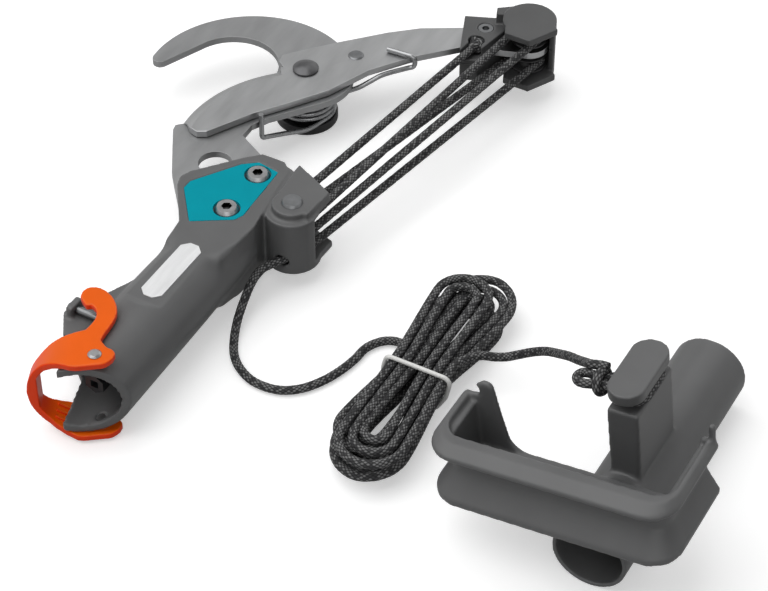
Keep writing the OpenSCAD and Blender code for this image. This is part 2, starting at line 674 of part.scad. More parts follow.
// Spring: a leg hooked over the hook plate, the coil, and a leg hooked round the lever
coil_step = 45;
fixed_leg = [199.7, 31.6];
lever_leg_z = lever_z - gap - wire_r;
over_z = lever_top + wire_r + 0.4;
function coil_point(a) = with_z(pivot + coil_r * at_angle(coil_from + a),
    coil_bottom + coil_pitch * a / 360);
coil_route = [for (a = [0:coil_step:coil_sweep - 10]) coil_point(a)];
coil_start = coil_route[0];
leg_start = pivot + coil_r * at_angle(coil_to);
function leg_point(d, z) = with_z(leg_start + d * at_angle(coil_to + 90), z);
spring_route = concat(
    [for (z = [8, 0, -6.6]) with_z(fixed_leg, z)],
    [with_z(fixed_leg + [0.9, -0.3], -8.4)],
    [for (t = [0.1, 0.4, 0.7]) with_z(mix(fixed_leg, flat(coil_start), t), mix(-8, coil_bottom, t / 0.7))],
    coil_route,
    [for (d = [0, 12, 24]) leg_point(d, coil_top)],
    [leg_point(32, mix(coil_top, lever_leg_z, 0.5)), leg_point(40, lever_leg_z), leg_point(54, lever_leg_z)],
    [[284, -15.6, lever_leg_z + 0.4], [284.4, -16.6, lever_z + 0.3], [284.5, -16.8, lever_z + 2.7],
     [284.4, -15.8, over_z - 0.7], [284.2, -13.5, over_z], [283.9, -7, over_z], [283.5, 0, over_z]]);
module return_spring() {
    echo(spring_least_gap = self_gap(finer(spring_route, 4), 2 * wire_r, 26));
    color("#c0c3c5") tube(spring_route, wire_r, 6);
}

// Lever block: halves above and below the lever, the upper one with the rope's anchor
module clamp_plan() { polygon([[-37, 10], [-13, 10], [-13, -0.8], [-26.7, -22], [-37, -22]]); }
module lid_plan() {
    circle(r = lid_r);
    polygon([[-13, -14], [1.4, -20.4], [16, -8], [8, 8], [-13, 8]]);
}
// Round the back of the sheaves, away from the ropes, and the web from it to the clamp
module back_wall() {
    difference() {
        circle(r = lid_r);
        circle(r = sheave_rim_r + 1.9);
        polygon([[0, 0], 40 * at_angle(168), [-60, -60], [60, -60], 40 * at_angle(-19)]);
    }
    polygon([[-19, 4], [-19, 10], [-8, 13], [-11.6, 4]]);
}
module lever_slot() {
    polygon([[-45, -9.4], [-36, -9.4], [0, -11.6], [0, 11.6], [-36, 9.6], [-45, 9.6]]);
    circle(r = lever_end_r + 0.6);
}
module block_upper() {
    color("#303234") on_block() difference() {
        union() {
            slab(block_split, clamp_top) clamp_plan();
            slab(lid_top - lid_t, lid_top) lid_plan();
            slab(block_split, lid_top - 1) back_wall();
        }
        rod_z([0, 0], -60, lid_top - pin_cover, axle_r);
        rod_z(screw_at, -60, 60, screw_r + seat);
        rod_z(screw_at, clamp_top - 3.4, 60, screw_head_r + 0.3);
        slab(0, lever_top) lever_slot();
        rod_z(anchor_at, anchor_z - anchor_r - 0.4, 60, anchor_r + 0.4);
        slab(anchor_z - rope_d / 2 - 1, 60)
            polygon([[-31.4, -12], [-25.8, -12], [-25.3, -23], [-37.3, -23]]);
    }
}
module block_lower() {
    color("#303234") on_block() difference() {
        union() {
            slab(clamp_bottom, block_split) clamp_plan();
            slab(lid_bottom, lid_bottom + lid_t) lid_plan();
            slab(lid_bottom + 1, block_split) back_wall();
        }
        rod_z([0, 0], -60, 60, axle_r);
        rod_z(screw_at, -60, 60, screw_r + seat);
        slab(lever_z, 60) lever_slot();
        translate(with_z(screw_at, clamp_bottom - cut)) cylinder(r = screw_r * 2, h = 3 + cut, $fn = 6);
    }
}
module block_screw() {
    color("#c4c7c9") on_block() difference() {
        union() {
            rod_z(screw_at, clamp_bottom + 0.4, clamp_top - 3, screw_r);
            rod_z(screw_at, clamp_top - 3.4, clamp_top - 0.4, screw_head_r);
        }
        translate(with_z(screw_at, clamp_top - 2.4)) cylinder(r = screw_r, h = 8, $fn = 6);
    }
}
module block_nut() {
    color("#8a8d90") on_block() difference() {
        translate(with_z(screw_at, clamp_bottom + 0.2)) cylinder(r = screw_r * 2 - seat, h = 2.8, $fn = 6);
        rod_z(screw_at, -60, 60, screw_r);
    }
}
module lever_axle_pin() {
    color("#b4b7ba") rod_z(lever_axle, lid_bottom + 0.3, lid_top - pin_cover - 0.1, axle_r);
}
module body_axle_pin() {
    head_z = pocket_top + 1 + boss_h;
    color("#b4b7ba") {
        rod_z(body_axle, pocket_bottom - ear_t + 0.3, head_z, axle_r);
        translate(with_z(body_axle, head_z)) cylinder(r1 = axle_head_r, r2 = axle_head_r - 0.8, h = 1.5);
    }
}
module sheave(p, z) {
    color("#d9d9d4") translate(with_z(p, z)) rotate_extrude() difference() {
        translate([axle_r + run, -sheave_w / 2]) square([sheave_rim_r - axle_r - run, sheave_w]);
        translate([sheave_pitch_r, 0]) circle(r = rope_d / 2 + gap);
        polygon([[sheave_pitch_r, -rope_d / 2 - gap], [sheave_rim_r + 1, -sheave_w / 2 + 0.5],
            [sheave_rim_r + 1, sheave_w / 2 - 0.5], [sheave_pitch_r, rope_d / 2 + gap]]);
    }
}
module lever_sheave_upper() { sheave(lever_axle, lever_sheave_z[0]); }
module lever_sheave_lower() { sheave(lever_axle, lever_sheave_z[1]); }
module body_sheave_top() { sheave(body_axle, body_sheave_z[0]); }
module body_sheave_middle() { sheave(body_axle, body_sheave_z[1]); }
module body_sheave_bottom() { sheave(body_axle, body_sheave_z[2]); }

module rope_tube(path, sides) { color("#1d1e20") tube(path, rope_d / 2, sides); }
module tackle_rope() { rope_tube(tackle_route, 10); }
module anchor_knot() {
    color("#1d1e20") on_block() translate(with_z(anchor_at, anchor_z)) sphere(r = anchor_r);
}
module rope_lead() { rope_tube(lead_route, 10); }
module rope_tail() { rope_tube(tail_route, 10); }
module rope_hank() {
    echo(hank_least_gap = self_gap(finer(hank_route, 4), rope_d, 16));
    rope_tube(hank_route, 6);
}
module hank_tie() {
    near = waist_step * (hank_turns + 0.25) + rope_d / 2 + 1.75;
    far = waist_step * (hank_turns + 0.75) + rope_d / 2 + 1.75;
    inner_z0 = hank_z - rope_d / 2 - 0.5;
    inner_h = last_layer * layer_h + rope_d + 1;
    color("#e8e8e4") translate([hank_c[0] - 8, hank_c[1], inner_z0]) rotate([90, 0, -90])
        linear_extrude(height = tie_w) difference() {
            translate([-near - tie_t, -tie_t]) square([near + far + 2 * tie_t, inner_h + 2 * tie_t]);
            translate([-near, 0]) square([near + far, inner_h]);
        }
}
module on_grip() { translate(grip_at) rotate([grip_roll, 0, 0]) children(); }
module rope_noose() { color("#1d1e20") on_grip() tube(noose_route, rope_d / 2, 8); }
module noose_knot() { color("#1d1e20") on_grip() translate(knot_at) sphere(r = knot_r); }

// The channel's outline, set in from its front and from its sides, open towards the back of the grip
module bar_plan(front_in, side_in, end) {
    x0 = bar_front + front_in;
    y0 = bar_right + side_in;
    y1 = bar_left - side_in;
    r = max(corner_r - side_in, 1);
    translate([x0 + r, y0]) square([end - x0 - r, y1 - y0]);
    translate([x0, y0 + r]) square([2 * r, y1 - y0 - 2 * r]);
    for (y = [y0 + r, y1 - r]) translate([x0 + r, y]) circle(r = r);
}
// Lower lip that sweeps up into the channel's wall, and the sloping band over it, as one solid block
module channel_block() {
    top = tray_z + channel_h;
    hull() {
        slab(tray_z, tray_z + channel_t) bar_plan(0, 0, right_end);
        slab(tray_z + slope_h, tray_z + slope_h + 1) bar_plan(channel_d, leg_d, right_end);
    }
    slab(tray_z + 1, top - 1) bar_plan(channel_d, leg_d, right_end);
    hull() {
        slab(top - band_h, top - band_slope_h) bar_plan(0, 0, right_end);
        slab(top - 1, top) bar_plan(channel_d - 3, rim_w / 2, right_end);
    }
}
// The block hollowed to a tray, with a narrow rim along its legs
module channel_tray() {
    top = tray_z + channel_h;
    difference() {
        channel_block();
        slab(tray_z + tray_floor_t, top + cut) bar_plan(band_w, leg_w, right_end + cut);
        slab(top - band_h + 2, top + cut) bar_plan(band_w, rim_w, right_end + cut);
        slab(tray_z - cut, top + cut) translate([leg_end, bar_right + right_floor_w])
            square([right_end - leg_end + cut, bar_len]);
    }
}
// End wall of the left leg: a web that sweeps up from the tray to a horn, hooked over a slot for the rope
end_wall_t = 3;
module left_web() {
    rotate([90, 0, 90]) linear_extrude(height = end_wall_t) polygon(concat(
        [[leg_d + 0.5, 0], [33, 0], [33, tray_floor_t]],
        arc([33, tray_floor_t + 11], 11, 265, 205, 8),
        [[20, 23], [17.8, channel_h + 2]],
        arc([13.3, channel_h + 4.7], 4, 25, 150, 8),
        [[6.8, channel_h + 5.2], [9, channel_h + 5.2], [10.1, channel_h + 3.4], [9.7, channel_h],
         [leg_d + 0.5, channel_h]]));
}
// End wall of the right leg: a low web and a small horn on the rim
module right_web() {
    rotate([90, 0, 90]) linear_extrude(height = end_wall_t) polygon(concat(
        [[leg_d + 0.5, 0], [18, 0], [18, tray_floor_t]],
        arc([18, tray_floor_t + 9], 9, 265, 185, 8),
        [[leg_w, channel_h - 1], [4.2, channel_h], [4.2, channel_h + 7]],
        arc([2.6, channel_h + 7], 1.6, 30, 150, 4),
        [[1, channel_h - band_slope_h], [leg_d + 0.5, channel_h - band_h + 1]]));
}
module grip_frame() {
    color("#2a2c2e") on_grip() difference() {
        union() {
            rod_x(0, sleeve_len, sleeve_out_r, sleeve_out_r);
            channel_tray();
            translate([leg_end - end_wall_t, bar_left, tray_z]) mirror([0, 1, 0]) left_web();
            translate([right_end - end_wall_t, bar_right, tray_z]) right_web();
            translate([post_at[0] - post_len / 2, post_at[1] - post_w / 2, 0])
                cube([post_len, post_w, post_z]);
            slab(post_z - 0.5, post_z + neck_h) translate(post_at) stadium(neck_len, neck_w);
            slab(post_z, post_z + neck_h + tenon_h) translate(post_at) stadium(neck_len - 6, neck_w - 2);
        }
        rod_x(-cut, sleeve_len + cut, sleeve_r, sleeve_r);
    }
}
module grip_post_cap() {
    color("#2f3133") on_grip() difference() {
        slab(post_z + neck_h, post_z + neck_h + post_cap_h)
            translate(post_at) stadium(post_cap_len, post_cap_w);
        slab(post_z, post_z + neck_h + tenon_h + 0.2) translate(post_at) stadium(neck_len - 6, neck_w - 2);
    }
}

head_body();
top_inlay();
plaque();
hook_plate();
clamp_bolts();
clamp_nuts();
pole_stub();
latch_pin();
lock_clip();
clip_rivets();
cutting_lever();
stop_pin();
pivot_bolt();
pivot_nut();
spring_core();
return_spring();
spring_cap();
block_upper();
block_lower();
block_screw();
block_nut();
lever_axle_pin();
lever_sheave_upper();
lever_sheave_lower();
body_axle_pin();
body_sheave_top();
body_sheave_middle();
body_sheave_bottom();
tackle_rope();
anchor_knot();
rope_lead();
rope_hank();
hank_tie();
rope_tail();
rope_noose();
noose_knot();
grip_frame();
grip_post_cap();
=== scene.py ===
"""Looks of a rope-pulled lopping head, its rope and hank, and its winding grip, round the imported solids."""

import math

import bmesh
import bpy
import numpy as np
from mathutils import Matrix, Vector


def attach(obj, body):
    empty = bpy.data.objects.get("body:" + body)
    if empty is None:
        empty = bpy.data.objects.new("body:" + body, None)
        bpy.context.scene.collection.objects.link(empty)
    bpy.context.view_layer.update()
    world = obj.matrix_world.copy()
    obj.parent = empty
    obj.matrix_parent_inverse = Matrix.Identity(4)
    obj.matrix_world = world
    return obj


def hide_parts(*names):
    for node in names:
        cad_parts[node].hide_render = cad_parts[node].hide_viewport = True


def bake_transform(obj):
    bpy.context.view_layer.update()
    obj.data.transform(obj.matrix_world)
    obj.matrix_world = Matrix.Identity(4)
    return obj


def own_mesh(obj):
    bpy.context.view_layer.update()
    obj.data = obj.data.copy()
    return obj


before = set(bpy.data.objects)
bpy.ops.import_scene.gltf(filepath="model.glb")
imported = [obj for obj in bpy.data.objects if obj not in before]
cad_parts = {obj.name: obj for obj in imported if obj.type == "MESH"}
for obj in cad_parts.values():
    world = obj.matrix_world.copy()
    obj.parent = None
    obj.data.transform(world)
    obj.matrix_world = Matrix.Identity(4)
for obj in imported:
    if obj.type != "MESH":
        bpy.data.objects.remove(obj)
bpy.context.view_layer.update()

bl_info = {
    "name": "Lopping head",
    "version": (1, 0, 0),
    "blender": (4, 5, 0),
    "location": "View3D > Sidebar > Lopping head",
    "description": "Moulded skins, blades, rope, spring and stage of a rope-pulled lopping head",
    "category": "Object",
}

MM = 0.001

# Places in the shared frame, in millimetres and degrees, as the solids have them

# Lever and hook plate
PIVOT = np.array([248.0, 32.0])
CLOSING = 66.0
LEVER_UNDER, LEVER_TOP = 2.3, 6.3
HOOK_UNDER = -2.0

# Tackle between the head and the lever
BODY_AXLE = np.array([132.6, -27.9])
LEVER_AXLE = np.array([329.9, -64.7])
SHEAVE_R = 7.5
BODY_Z = (11.5, 2.0, -7.5)
LEVER_Z = (12.5, -4.5)
BLOCK_DIR = -67.6
ANCHOR_AT = (-28.6, -12.1)
ANCHOR_Z = 10.6
ANCHOR_R = 4.2
ANCHOR_OVERLAP = 1.5
EXIT_TURN = -120.0
EXIT_RUN = 18.3

# Free rope, its hank and the tie
FLOOR_Z = -27.0
ROPE_R = 2.25
ROPE_LIES = 2.3
HANK_AT = np.array([88.5, -127.0])
TIE_BACK = 8.0
TIE_R = 1.15
TIE_GAP = 0.25

# Return spring
WIRE_R = 1.4
WIRE_GAP = 0.3
WIRE_OVER = 0.4
COIL_DROP = 0.1
COIL_R = 15.5
COIL_PITCH = 3.3
COIL_TURNS = 5
COIL_START = 252.7
COIL_END = 232.9
HEAD_LEG_AT = np.array([199.7, 31.6])

# Winding grip, its post and the knot beside it
GRIP_AT = np.array([15.0, -252.0, -8.5])
GRIP_ROLL = math.radians(-7)
POST_AT = np.array([58.0, -1.4])
POST_LONG = 22.0
POST_WIDE = 9.0
NOOSE_GAP = 0.5
KNOT_AT = np.array([52.6, 17.5, 58.85])

# Head's top face, the plaque on it, and the steps between barrel and block
DECK_Z = 18.0
DECK_DEPTH = 3.0
PLAQUE_HALF = 8.0
PLAQUE_MARGIN = 4.0
STEP_X = 80.0
STEP_REACH = 17.0
STEP_PASSES = 160

# Lock clip and the ribs inside it
CLIP_AT = np.array([-11.5, -5.0])
CLIP_DIR = 113.9
CLIP_BEND = 9.0
CLIP_INNER = 22.0
RIB_PLACES = (-7.4, -3.2, 1.0)
RIB_ENDS = (15.5, 22.5)
RIB_R = 0.75
RIB_SEAT = 0.3

# Points nearer than this, in metres, are one point
SAME_POINT = 1e-6


# Small helpers on points

def at_angle(degrees):
    """A flat unit vector at an angle."""
    return np.array([math.cos(math.radians(degrees)), math.sin(math.radians(degrees))])


def angle_of(v):
    """The angle of a flat vector, in degrees."""
    return math.degrees(math.atan2(v[1], v[0]))


def unit(v):
    return v / np.linalg.norm(v)


def mix(a, b, t):
    return a + (b - a) * t


def ease(t):
    """A share from 0 to 1 that starts and ends softly."""
    return t * t * (3 - 2 * t)


def lift(points, z):
    """Flat points, all at one height."""
    return [np.array([p[0], p[1], z]) for p in points]


def arc(centre, r, start, end, count):
    """Flat points on an arc, from one angle to another."""
    return [centre + r * at_angle(mix(start, end, i / count)) for i in range(count + 1)]


def smooth(points, count=8):
    """A smooth line through the points, with some points in each span."""
    p = [np.array(q, float) for q in points]
    p = [2 * p[0] - p[1], *p, 2 * p[-1] - p[-2]]
    line = []
    for a, b, c, d in zip(p, p[1:], p[2:], p[3:]):
        for i in range(count):
            t = i / count
            line.append(0.5 * (2 * b + (c - a) * t + (2 * a - 5 * b + 4 * c - d) * t * t
                               + (3 * b - a - 3 * c + d) * t ** 3))
    return [*line, p[-2]]


def on_grip(p):
    """A point of the grip's own frame, which is rolled about its sleeve."""
    c, s = math.cos(GRIP_ROLL), math.sin(GRIP_ROLL)
    return GRIP_AT + np.array([p[0], p[1] * c - p[2] * s, p[1] * s + p[2] * c])


def length_of(points):
    return sum(float(np.linalg.norm(b - a)) for a, b in zip(points, points[1:]))


# Settings that a user would change

class LopperFinish(bpy.types.PropertyGroup):
    """Colours of the finishes."""

    moulding: bpy.props.FloatVectorProperty(
        name="Moulding", description="Dark grey of the moulded body, block and grip",
        subtype="COLOR", size=3, default=(0.105, 0.106, 0.107), min=0, max=1)
    black: bpy.props.FloatVectorProperty(
        name="Black plastic", description="Black of the stub and of the spring's core and cap",
        subtype="COLOR", size=3, default=(0.014, 0.014, 0.015), min=0, max=1)
    inlay: bpy.props.FloatVectorProperty(
        name="Inlay", description="Turquoise of the inlay on the clamp block",
        subtype="COLOR", size=3, default=(0.0, 0.3, 0.375), min=0, max=1)
    steel: bpy.props.FloatVectorProperty(
        name="Blade steel", description="Satin grey of the hook plate and the lever",
        subtype="COLOR", size=3, default=(0.33, 0.333, 0.336), min=0, max=1)
    clip: bpy.props.FloatVectorProperty(
        name="Lock clip", description="Orange of the lock clip",
        subtype="COLOR", size=3, default=(0.86, 0.12, 0.002), min=0, max=1)
    # Painted shade: a deeper, redder tone for the lock clip's upright faces, which get less of the light from
    # above than its flat faces
    clip_flank_shade: bpy.props.FloatVectorProperty(
        name="Lock clip's flanks", description="Redder tone of the lock clip's upright faces",
        subtype="COLOR", size=3, default=(0.92, 0.055, 0.004), min=0, max=1)
    rope: bpy.props.FloatVectorProperty(
        name="Rope", description="Black of the braided rope",
        subtype="COLOR", size=3, default=(0.017, 0.017, 0.018), min=0, max=1)
    # Painted highlights: pale flecks of sheen on the crowns of the rope's strands
    fleck_sheen: bpy.props.FloatVectorProperty(
        name="Flecks", description="Pale flecks on the rope's strands",
        subtype="COLOR", size=3, default=(0.24, 0.24, 0.24), min=0, max=1)


class LopperRope(bpy.types.PropertyGroup):
    """Sizes of the braided rope."""

    diameter: bpy.props.FloatProperty(
        name="Diameter", description="Diameter of the rope", default=2 * ROPE_R * MM, unit="LENGTH",
        min=0.001, max=0.01)
    sides: bpy.props.IntProperty(
        name="Sides", description="Points round the rope", default=20, min=8, max=40)
    step: bpy.props.FloatProperty(
        name="Step", description="Distance between the rings of points", default=1.1 * MM, unit="LENGTH",
        min=0.0004, max=0.01)
    strands: bpy.props.IntProperty(
        name="Strands", description="Strands that run round the rope each way", default=8, min=4, max=16)
    lay: bpy.props.FloatProperty(
        name="Lay", description="Length in which a strand moves on by one strand", default=2.6 * MM,
        unit="LENGTH", min=0.001, max=0.02)
    relief: bpy.props.FloatProperty(
        name="Relief", description="Height of the strands over the rope's surface", default=0.22 * MM,
        unit="LENGTH", min=0, max=0.001)


class LopperSkin(bpy.types.PropertyGroup):
    """How the moulded skins are rounded."""

    grain: bpy.props.FloatProperty(
        name="Grain", description="Size of the faces of the skins before rounding", default=0.95 * MM,
        unit="LENGTH", min=0.0004, max=0.004)
    passes: bpy.props.IntProperty(
        name="Rounding", description="Passes that round the edges of the skins", default=5, min=0, max=40)


class LopperStage(bpy.types.PropertyGroup):
    """Camera, lamps and floor."""

    azimuth: bpy.props.FloatProperty(
        name="Azimuth", description="Direction that the camera looks from, round the vertical",
        default=math.radians(-61), subtype="ANGLE")
    elevation: bpy.props.FloatProperty(
        name="Elevation", description="Height of the camera above the horizon", default=math.radians(43),
        subtype="ANGLE")
    distance: bpy.props.FloatProperty(
        name="Distance", description="Distance of the camera from what it looks at", default=1.2,
        unit="LENGTH", min=0.1)
    lens: bpy.props.FloatProperty(
        name="Lens", description="Focal length of the camera in millimetres", default=112.5, min=10)
    lamp: bpy.props.FloatProperty(
        name="Lamps", description="Strength of the lamps", default=1.0, min=0)
    paper: bpy.props.FloatVectorProperty(
        name="Paper", description="Colour of the floor and the background", subtype="COLOR", size=3,
        default=(1.0, 1.0, 1.0), min=0, max=1)


# Materials

FINISH_NAMES = {
    "body": "Moulded grey", "dark_body": "Dark moulding", "black_plastic": "Black plastic",
    "sheave": "Dark sheave", "inlay": "Turquoise inlay", "plaque": "Plaque metal",
    "hook_steel": "Hook steel", "lever_steel": "Lever steel", "fastener": "Zinc steel",
    "bright_fastener": "Bright bolt", "dark_fastener": "Dark bolt", "spring_steel": "Spring wire",
    "clip": "Orange clip", "tie": "White tie", "rope": "Braided rope",
}
# Where the painted shade on a flank gives way to the lighter tone of a flat face, by how far the face looks up
# or down
FLANK_SHADE_RANGE = (0.45, 0.95)
# Where the painted shade in a recess gives way, by how open the place is
RECESS_SHADE_RANGE = (0.62, 0.82)
RECESS_SHADE_TONE = (0.004, 0.004, 0.004)
GRAIN_HEIGHT = 0.2 * MM
COAT_ROUGH = 0.08
CLOUD_DETAIL, GRAIN_DETAIL = 5, 2
CLOUD_RANGE = (0.3, 0.7)
# Numbers kept on the rope's points: the place round the rope, and the length along it
RING_FIELDS = ("ring_x", "ring_y", "along")
STRAND_LEVEL = 0.6
STRAND_HEIGHT = 0.4 * MM
# Painted shade in the grooves and painted light on the strands, as shares of the rope's colour, and the heights
# between which one turns into the other
GROOVE_SHADE_SHARE, STRAND_LIGHT_SHARE = 0.35, 2.2
GROOVE_SHADE_RANGE = (0.25, 0.95)
# A crossing has a painted highlight, a pale fleck of sheen, when its chance number is over this, and the power
# keeps the painted highlight on the crown
SHEEN_FLECK_FROM = 0.34
SHEEN_FLECK_POWER = 2.5


def blank_material(name):
    """A new material, its nodes and its links."""
    made = bpy.data.materials.new(name)
    made.use_nodes = True
    return made, made.node_tree.nodes, made.node_tree.links


def math_node(nodes, links, operation, a, b=None):
    """The outcome of one operation on numbers or sockets."""
    node = nodes.new("ShaderNodeMath")
    node.operation = operation
    for socket, value in zip(node.inputs, (a, b)):
        if value is None:
            continue
        if isinstance(value, (int, float)):
            socket.default_value = value
        else:
            links.new(value, socket)
    return node.outputs[0]


def map_range(nodes, links, value, given, wanted=(0.0, 1.0), curve="LINEAR"):
    """The value, moved from the given range to the wanted one."""
    node = nodes.new("ShaderNodeMapRange")
    node.interpolation_type = curve
    for name, number in zip(("From Min", "From Max", "To Min", "To Max"), (*given, *wanted)):
        node.inputs[name].default_value = number
    links.new(value, node.inputs["Value"])
    return node.outputs["Result"]


def colour_mix(nodes, links, share, low, high):
    """A mix of two colours or sockets: the low one at share 0 and the high one at share 1."""
    node = nodes.new("ShaderNodeMix")
    node.data_type = "RGBA"
    links.new(share, node.inputs["Factor"])
    for socket, colour in ((node.inputs[6], low), (node.inputs[7], high)):
        if isinstance(colour, bpy.types.NodeSocket):
            links.new(colour, socket)
        else:
            socket.default_value = (*colour, 1)
    return node.outputs[2]


def two_tones(nodes, links, value, places, low, high):
    """A colour that runs from low to high as the value passes from the first place to the second."""
    ramp = nodes.new("ShaderNodeValToRGB")
    for i, (place, colour) in enumerate(zip(places, (low, high))):
        ramp.color_ramp.elements[i].position = place
        ramp.color_ramp.elements[i].color = (*colour, 1)
    links.new(value, ramp.inputs["Fac"])
    return ramp.outputs["Color"]


def noise(nodes, links, place, scale, detail):
    """Soft noise at a place on the piece."""
    cloud = nodes.new("ShaderNodeTexNoise")
    cloud.inputs["Scale"].default_value = scale
    cloud.inputs["Detail"].default_value = detail
    links.new(place, cloud.inputs["Vector"])
    return cloud.outputs["Fac"]


def raise_surface(nodes, links, height, strength, distance):
    """Makes the finish look raised where the height is."""
    raised = nodes.new("ShaderNodeBump")
    raised.inputs["Strength"].default_value = strength
    raised.inputs["Distance"].default_value = distance
    links.new(height, raised.inputs["Height"])
    links.new(raised.outputs["Normal"], nodes["Principled BSDF"].inputs["Normal"])


def finish(name, colour, spread, rough, scale, metallic=0.0, stretch=(1, 1, 1), bump=0.0, grain=900.0,
           coat=0.0, rough_spread=0.06, turn=0.0, specular=0.5, flank_shade=None, recess_shade=0.0):
    """Makes a finish that varies a little over the piece, with a fine grain, painted shade on the upright faces
    where asked, and painted shade in recesses where asked.
    """
    _, nodes, links = blank_material(name)
    shader = nodes["Principled BSDF"]
    place = nodes.new("ShaderNodeTexCoord")
    mapping = nodes.new("ShaderNodeMapping")
    mapping.inputs["Scale"].default_value = stretch
    mapping.inputs["Rotation"].default_value = (0, 0, turn)
    links.new(place.outputs["Object"], mapping.inputs["Vector"])
    cloud = noise(nodes, links, mapping.outputs["Vector"], scale, CLOUD_DETAIL)
    toned = two_tones(nodes, links, cloud, CLOUD_RANGE, [c * (1 - spread) for c in colour],
                      [min(1, c * (1 + spread)) for c in colour])
    # Painted shade on the upright faces: they take the flank tone, the faces that look up or down keep the
    # lighter one
    if flank_shade:
        facing = nodes.new("ShaderNodeSeparateXYZ")
        links.new(place.outputs["Normal"], facing.inputs["Vector"])
        level = math_node(nodes, links, "ABSOLUTE", facing.outputs["Z"])
        level = map_range(nodes, links, level, FLANK_SHADE_RANGE, curve="SMOOTHSTEP")
        toned = colour_mix(nodes, links, level, flank_shade, toned)
    # Painted shade in recesses: darker where ambient occlusion finds the place closed in
    if recess_shade:
        hollow = nodes.new("ShaderNodeAmbientOcclusion")
        hollow.inputs["Distance"].default_value = recess_shade
        hollow.only_local = True
        clear = map_range(nodes, links, hollow.outputs["AO"], RECESS_SHADE_RANGE)
        toned = colour_mix(nodes, links, clear, RECESS_SHADE_TONE, toned)
    links.new(toned, shader.inputs["Base Color"])
    gloss = map_range(nodes, links, cloud, (0, 1), (rough - rough_spread, rough + rough_spread))
    links.new(gloss, shader.inputs["Roughness"])
    shader.inputs["Metallic"].default_value = metallic
    shader.inputs["Specular IOR Level"].default_value = specular
    shader.inputs["Coat Weight"].default_value = coat
    shader.inputs["Coat Roughness"].default_value = COAT_ROUGH
    if bump:
        fine = noise(nodes, links, mapping.outputs["Vector"], grain, GRAIN_DETAIL)
        raise_surface(nodes, links, fine, bump, GRAIN_HEIGHT)


def braid_height(nodes, links, x, y, along, strands, lay):
    """Height of a braid's strands, and two numbers that are the same all over one strand's crossing."""
    turn = math_node(nodes, links, "ARCTAN2", y, x)
    turn = math_node(nodes, links, "MULTIPLY", turn, strands / (2 * math.pi))
    run = math_node(nodes, links, "DIVIDE", along, lay)
    families = [math_node(nodes, links, "ADD", turn, run), math_node(nodes, links, "SUBTRACT", turn, run)]
    waves = []
    for family in families:
        wave = math_node(nodes, links, "SINE", math_node(nodes, links, "MULTIPLY", family, math.pi))
        waves.append(math_node(nodes, links, "ABSOLUTE", wave))
    height = math_node(nodes, links, "SQRT", math_node(nodes, links, "MULTIPLY", *waves))
    return height, *[math_node(nodes, links, "FLOOR", family) for family in families]


def rope_material(finish_set, rope):
    """Makes the braided rope: painted shade in the grooves, painted light on the strands, and painted
    highlights as pale flecks of sheen on some crossings.
    """
    _, nodes, links = blank_material("Braided rope")
    shader = nodes["Principled BSDF"]
    fields = []
    for name in RING_FIELDS:
        field = nodes.new("ShaderNodeAttribute")
        field.attribute_name = name
        fields.append(field.outputs["Fac"])
    height, over, under = braid_height(nodes, links, *fields, rope.strands, rope.lay)
    cell = nodes.new("ShaderNodeCombineXYZ")
    links.new(over, cell.inputs["X"])
    links.new(under, cell.inputs["Y"])
    chance = nodes.new("ShaderNodeTexWhiteNoise")
    chance.noise_dimensions = "2D"
    links.new(cell.outputs["Vector"], chance.inputs["Vector"])
    # Painted highlights: pale flecks of sheen on the crowns of some crossings
    sheen_flecked = math_node(nodes, links, "GREATER_THAN", chance.outputs["Value"], SHEEN_FLECK_FROM)
    crown_sheen = math_node(nodes, links, "POWER", height, SHEEN_FLECK_POWER)
    crown_sheen = math_node(nodes, links, "SMOOTH_MIN", crown_sheen, 1.0)
    sheen_shown = math_node(nodes, links, "MULTIPLY", sheen_flecked, crown_sheen)
    # Painted shade in the grooves, painted light on the strands' crowns
    tone = two_tones(nodes, links, height, GROOVE_SHADE_RANGE, [c * GROOVE_SHADE_SHARE for c in finish_set.rope],
                     [c * STRAND_LIGHT_SHARE for c in finish_set.rope])
    links.new(colour_mix(nodes, links, sheen_shown, tone, finish_set.fleck_sheen), shader.inputs["Base Color"])
    shader.inputs["Roughness"].default_value = 0.62
    shader.inputs["Specular IOR Level"].default_value = 0.35
    raise_surface(nodes, links, height, 0.7, STRAND_HEIGHT)


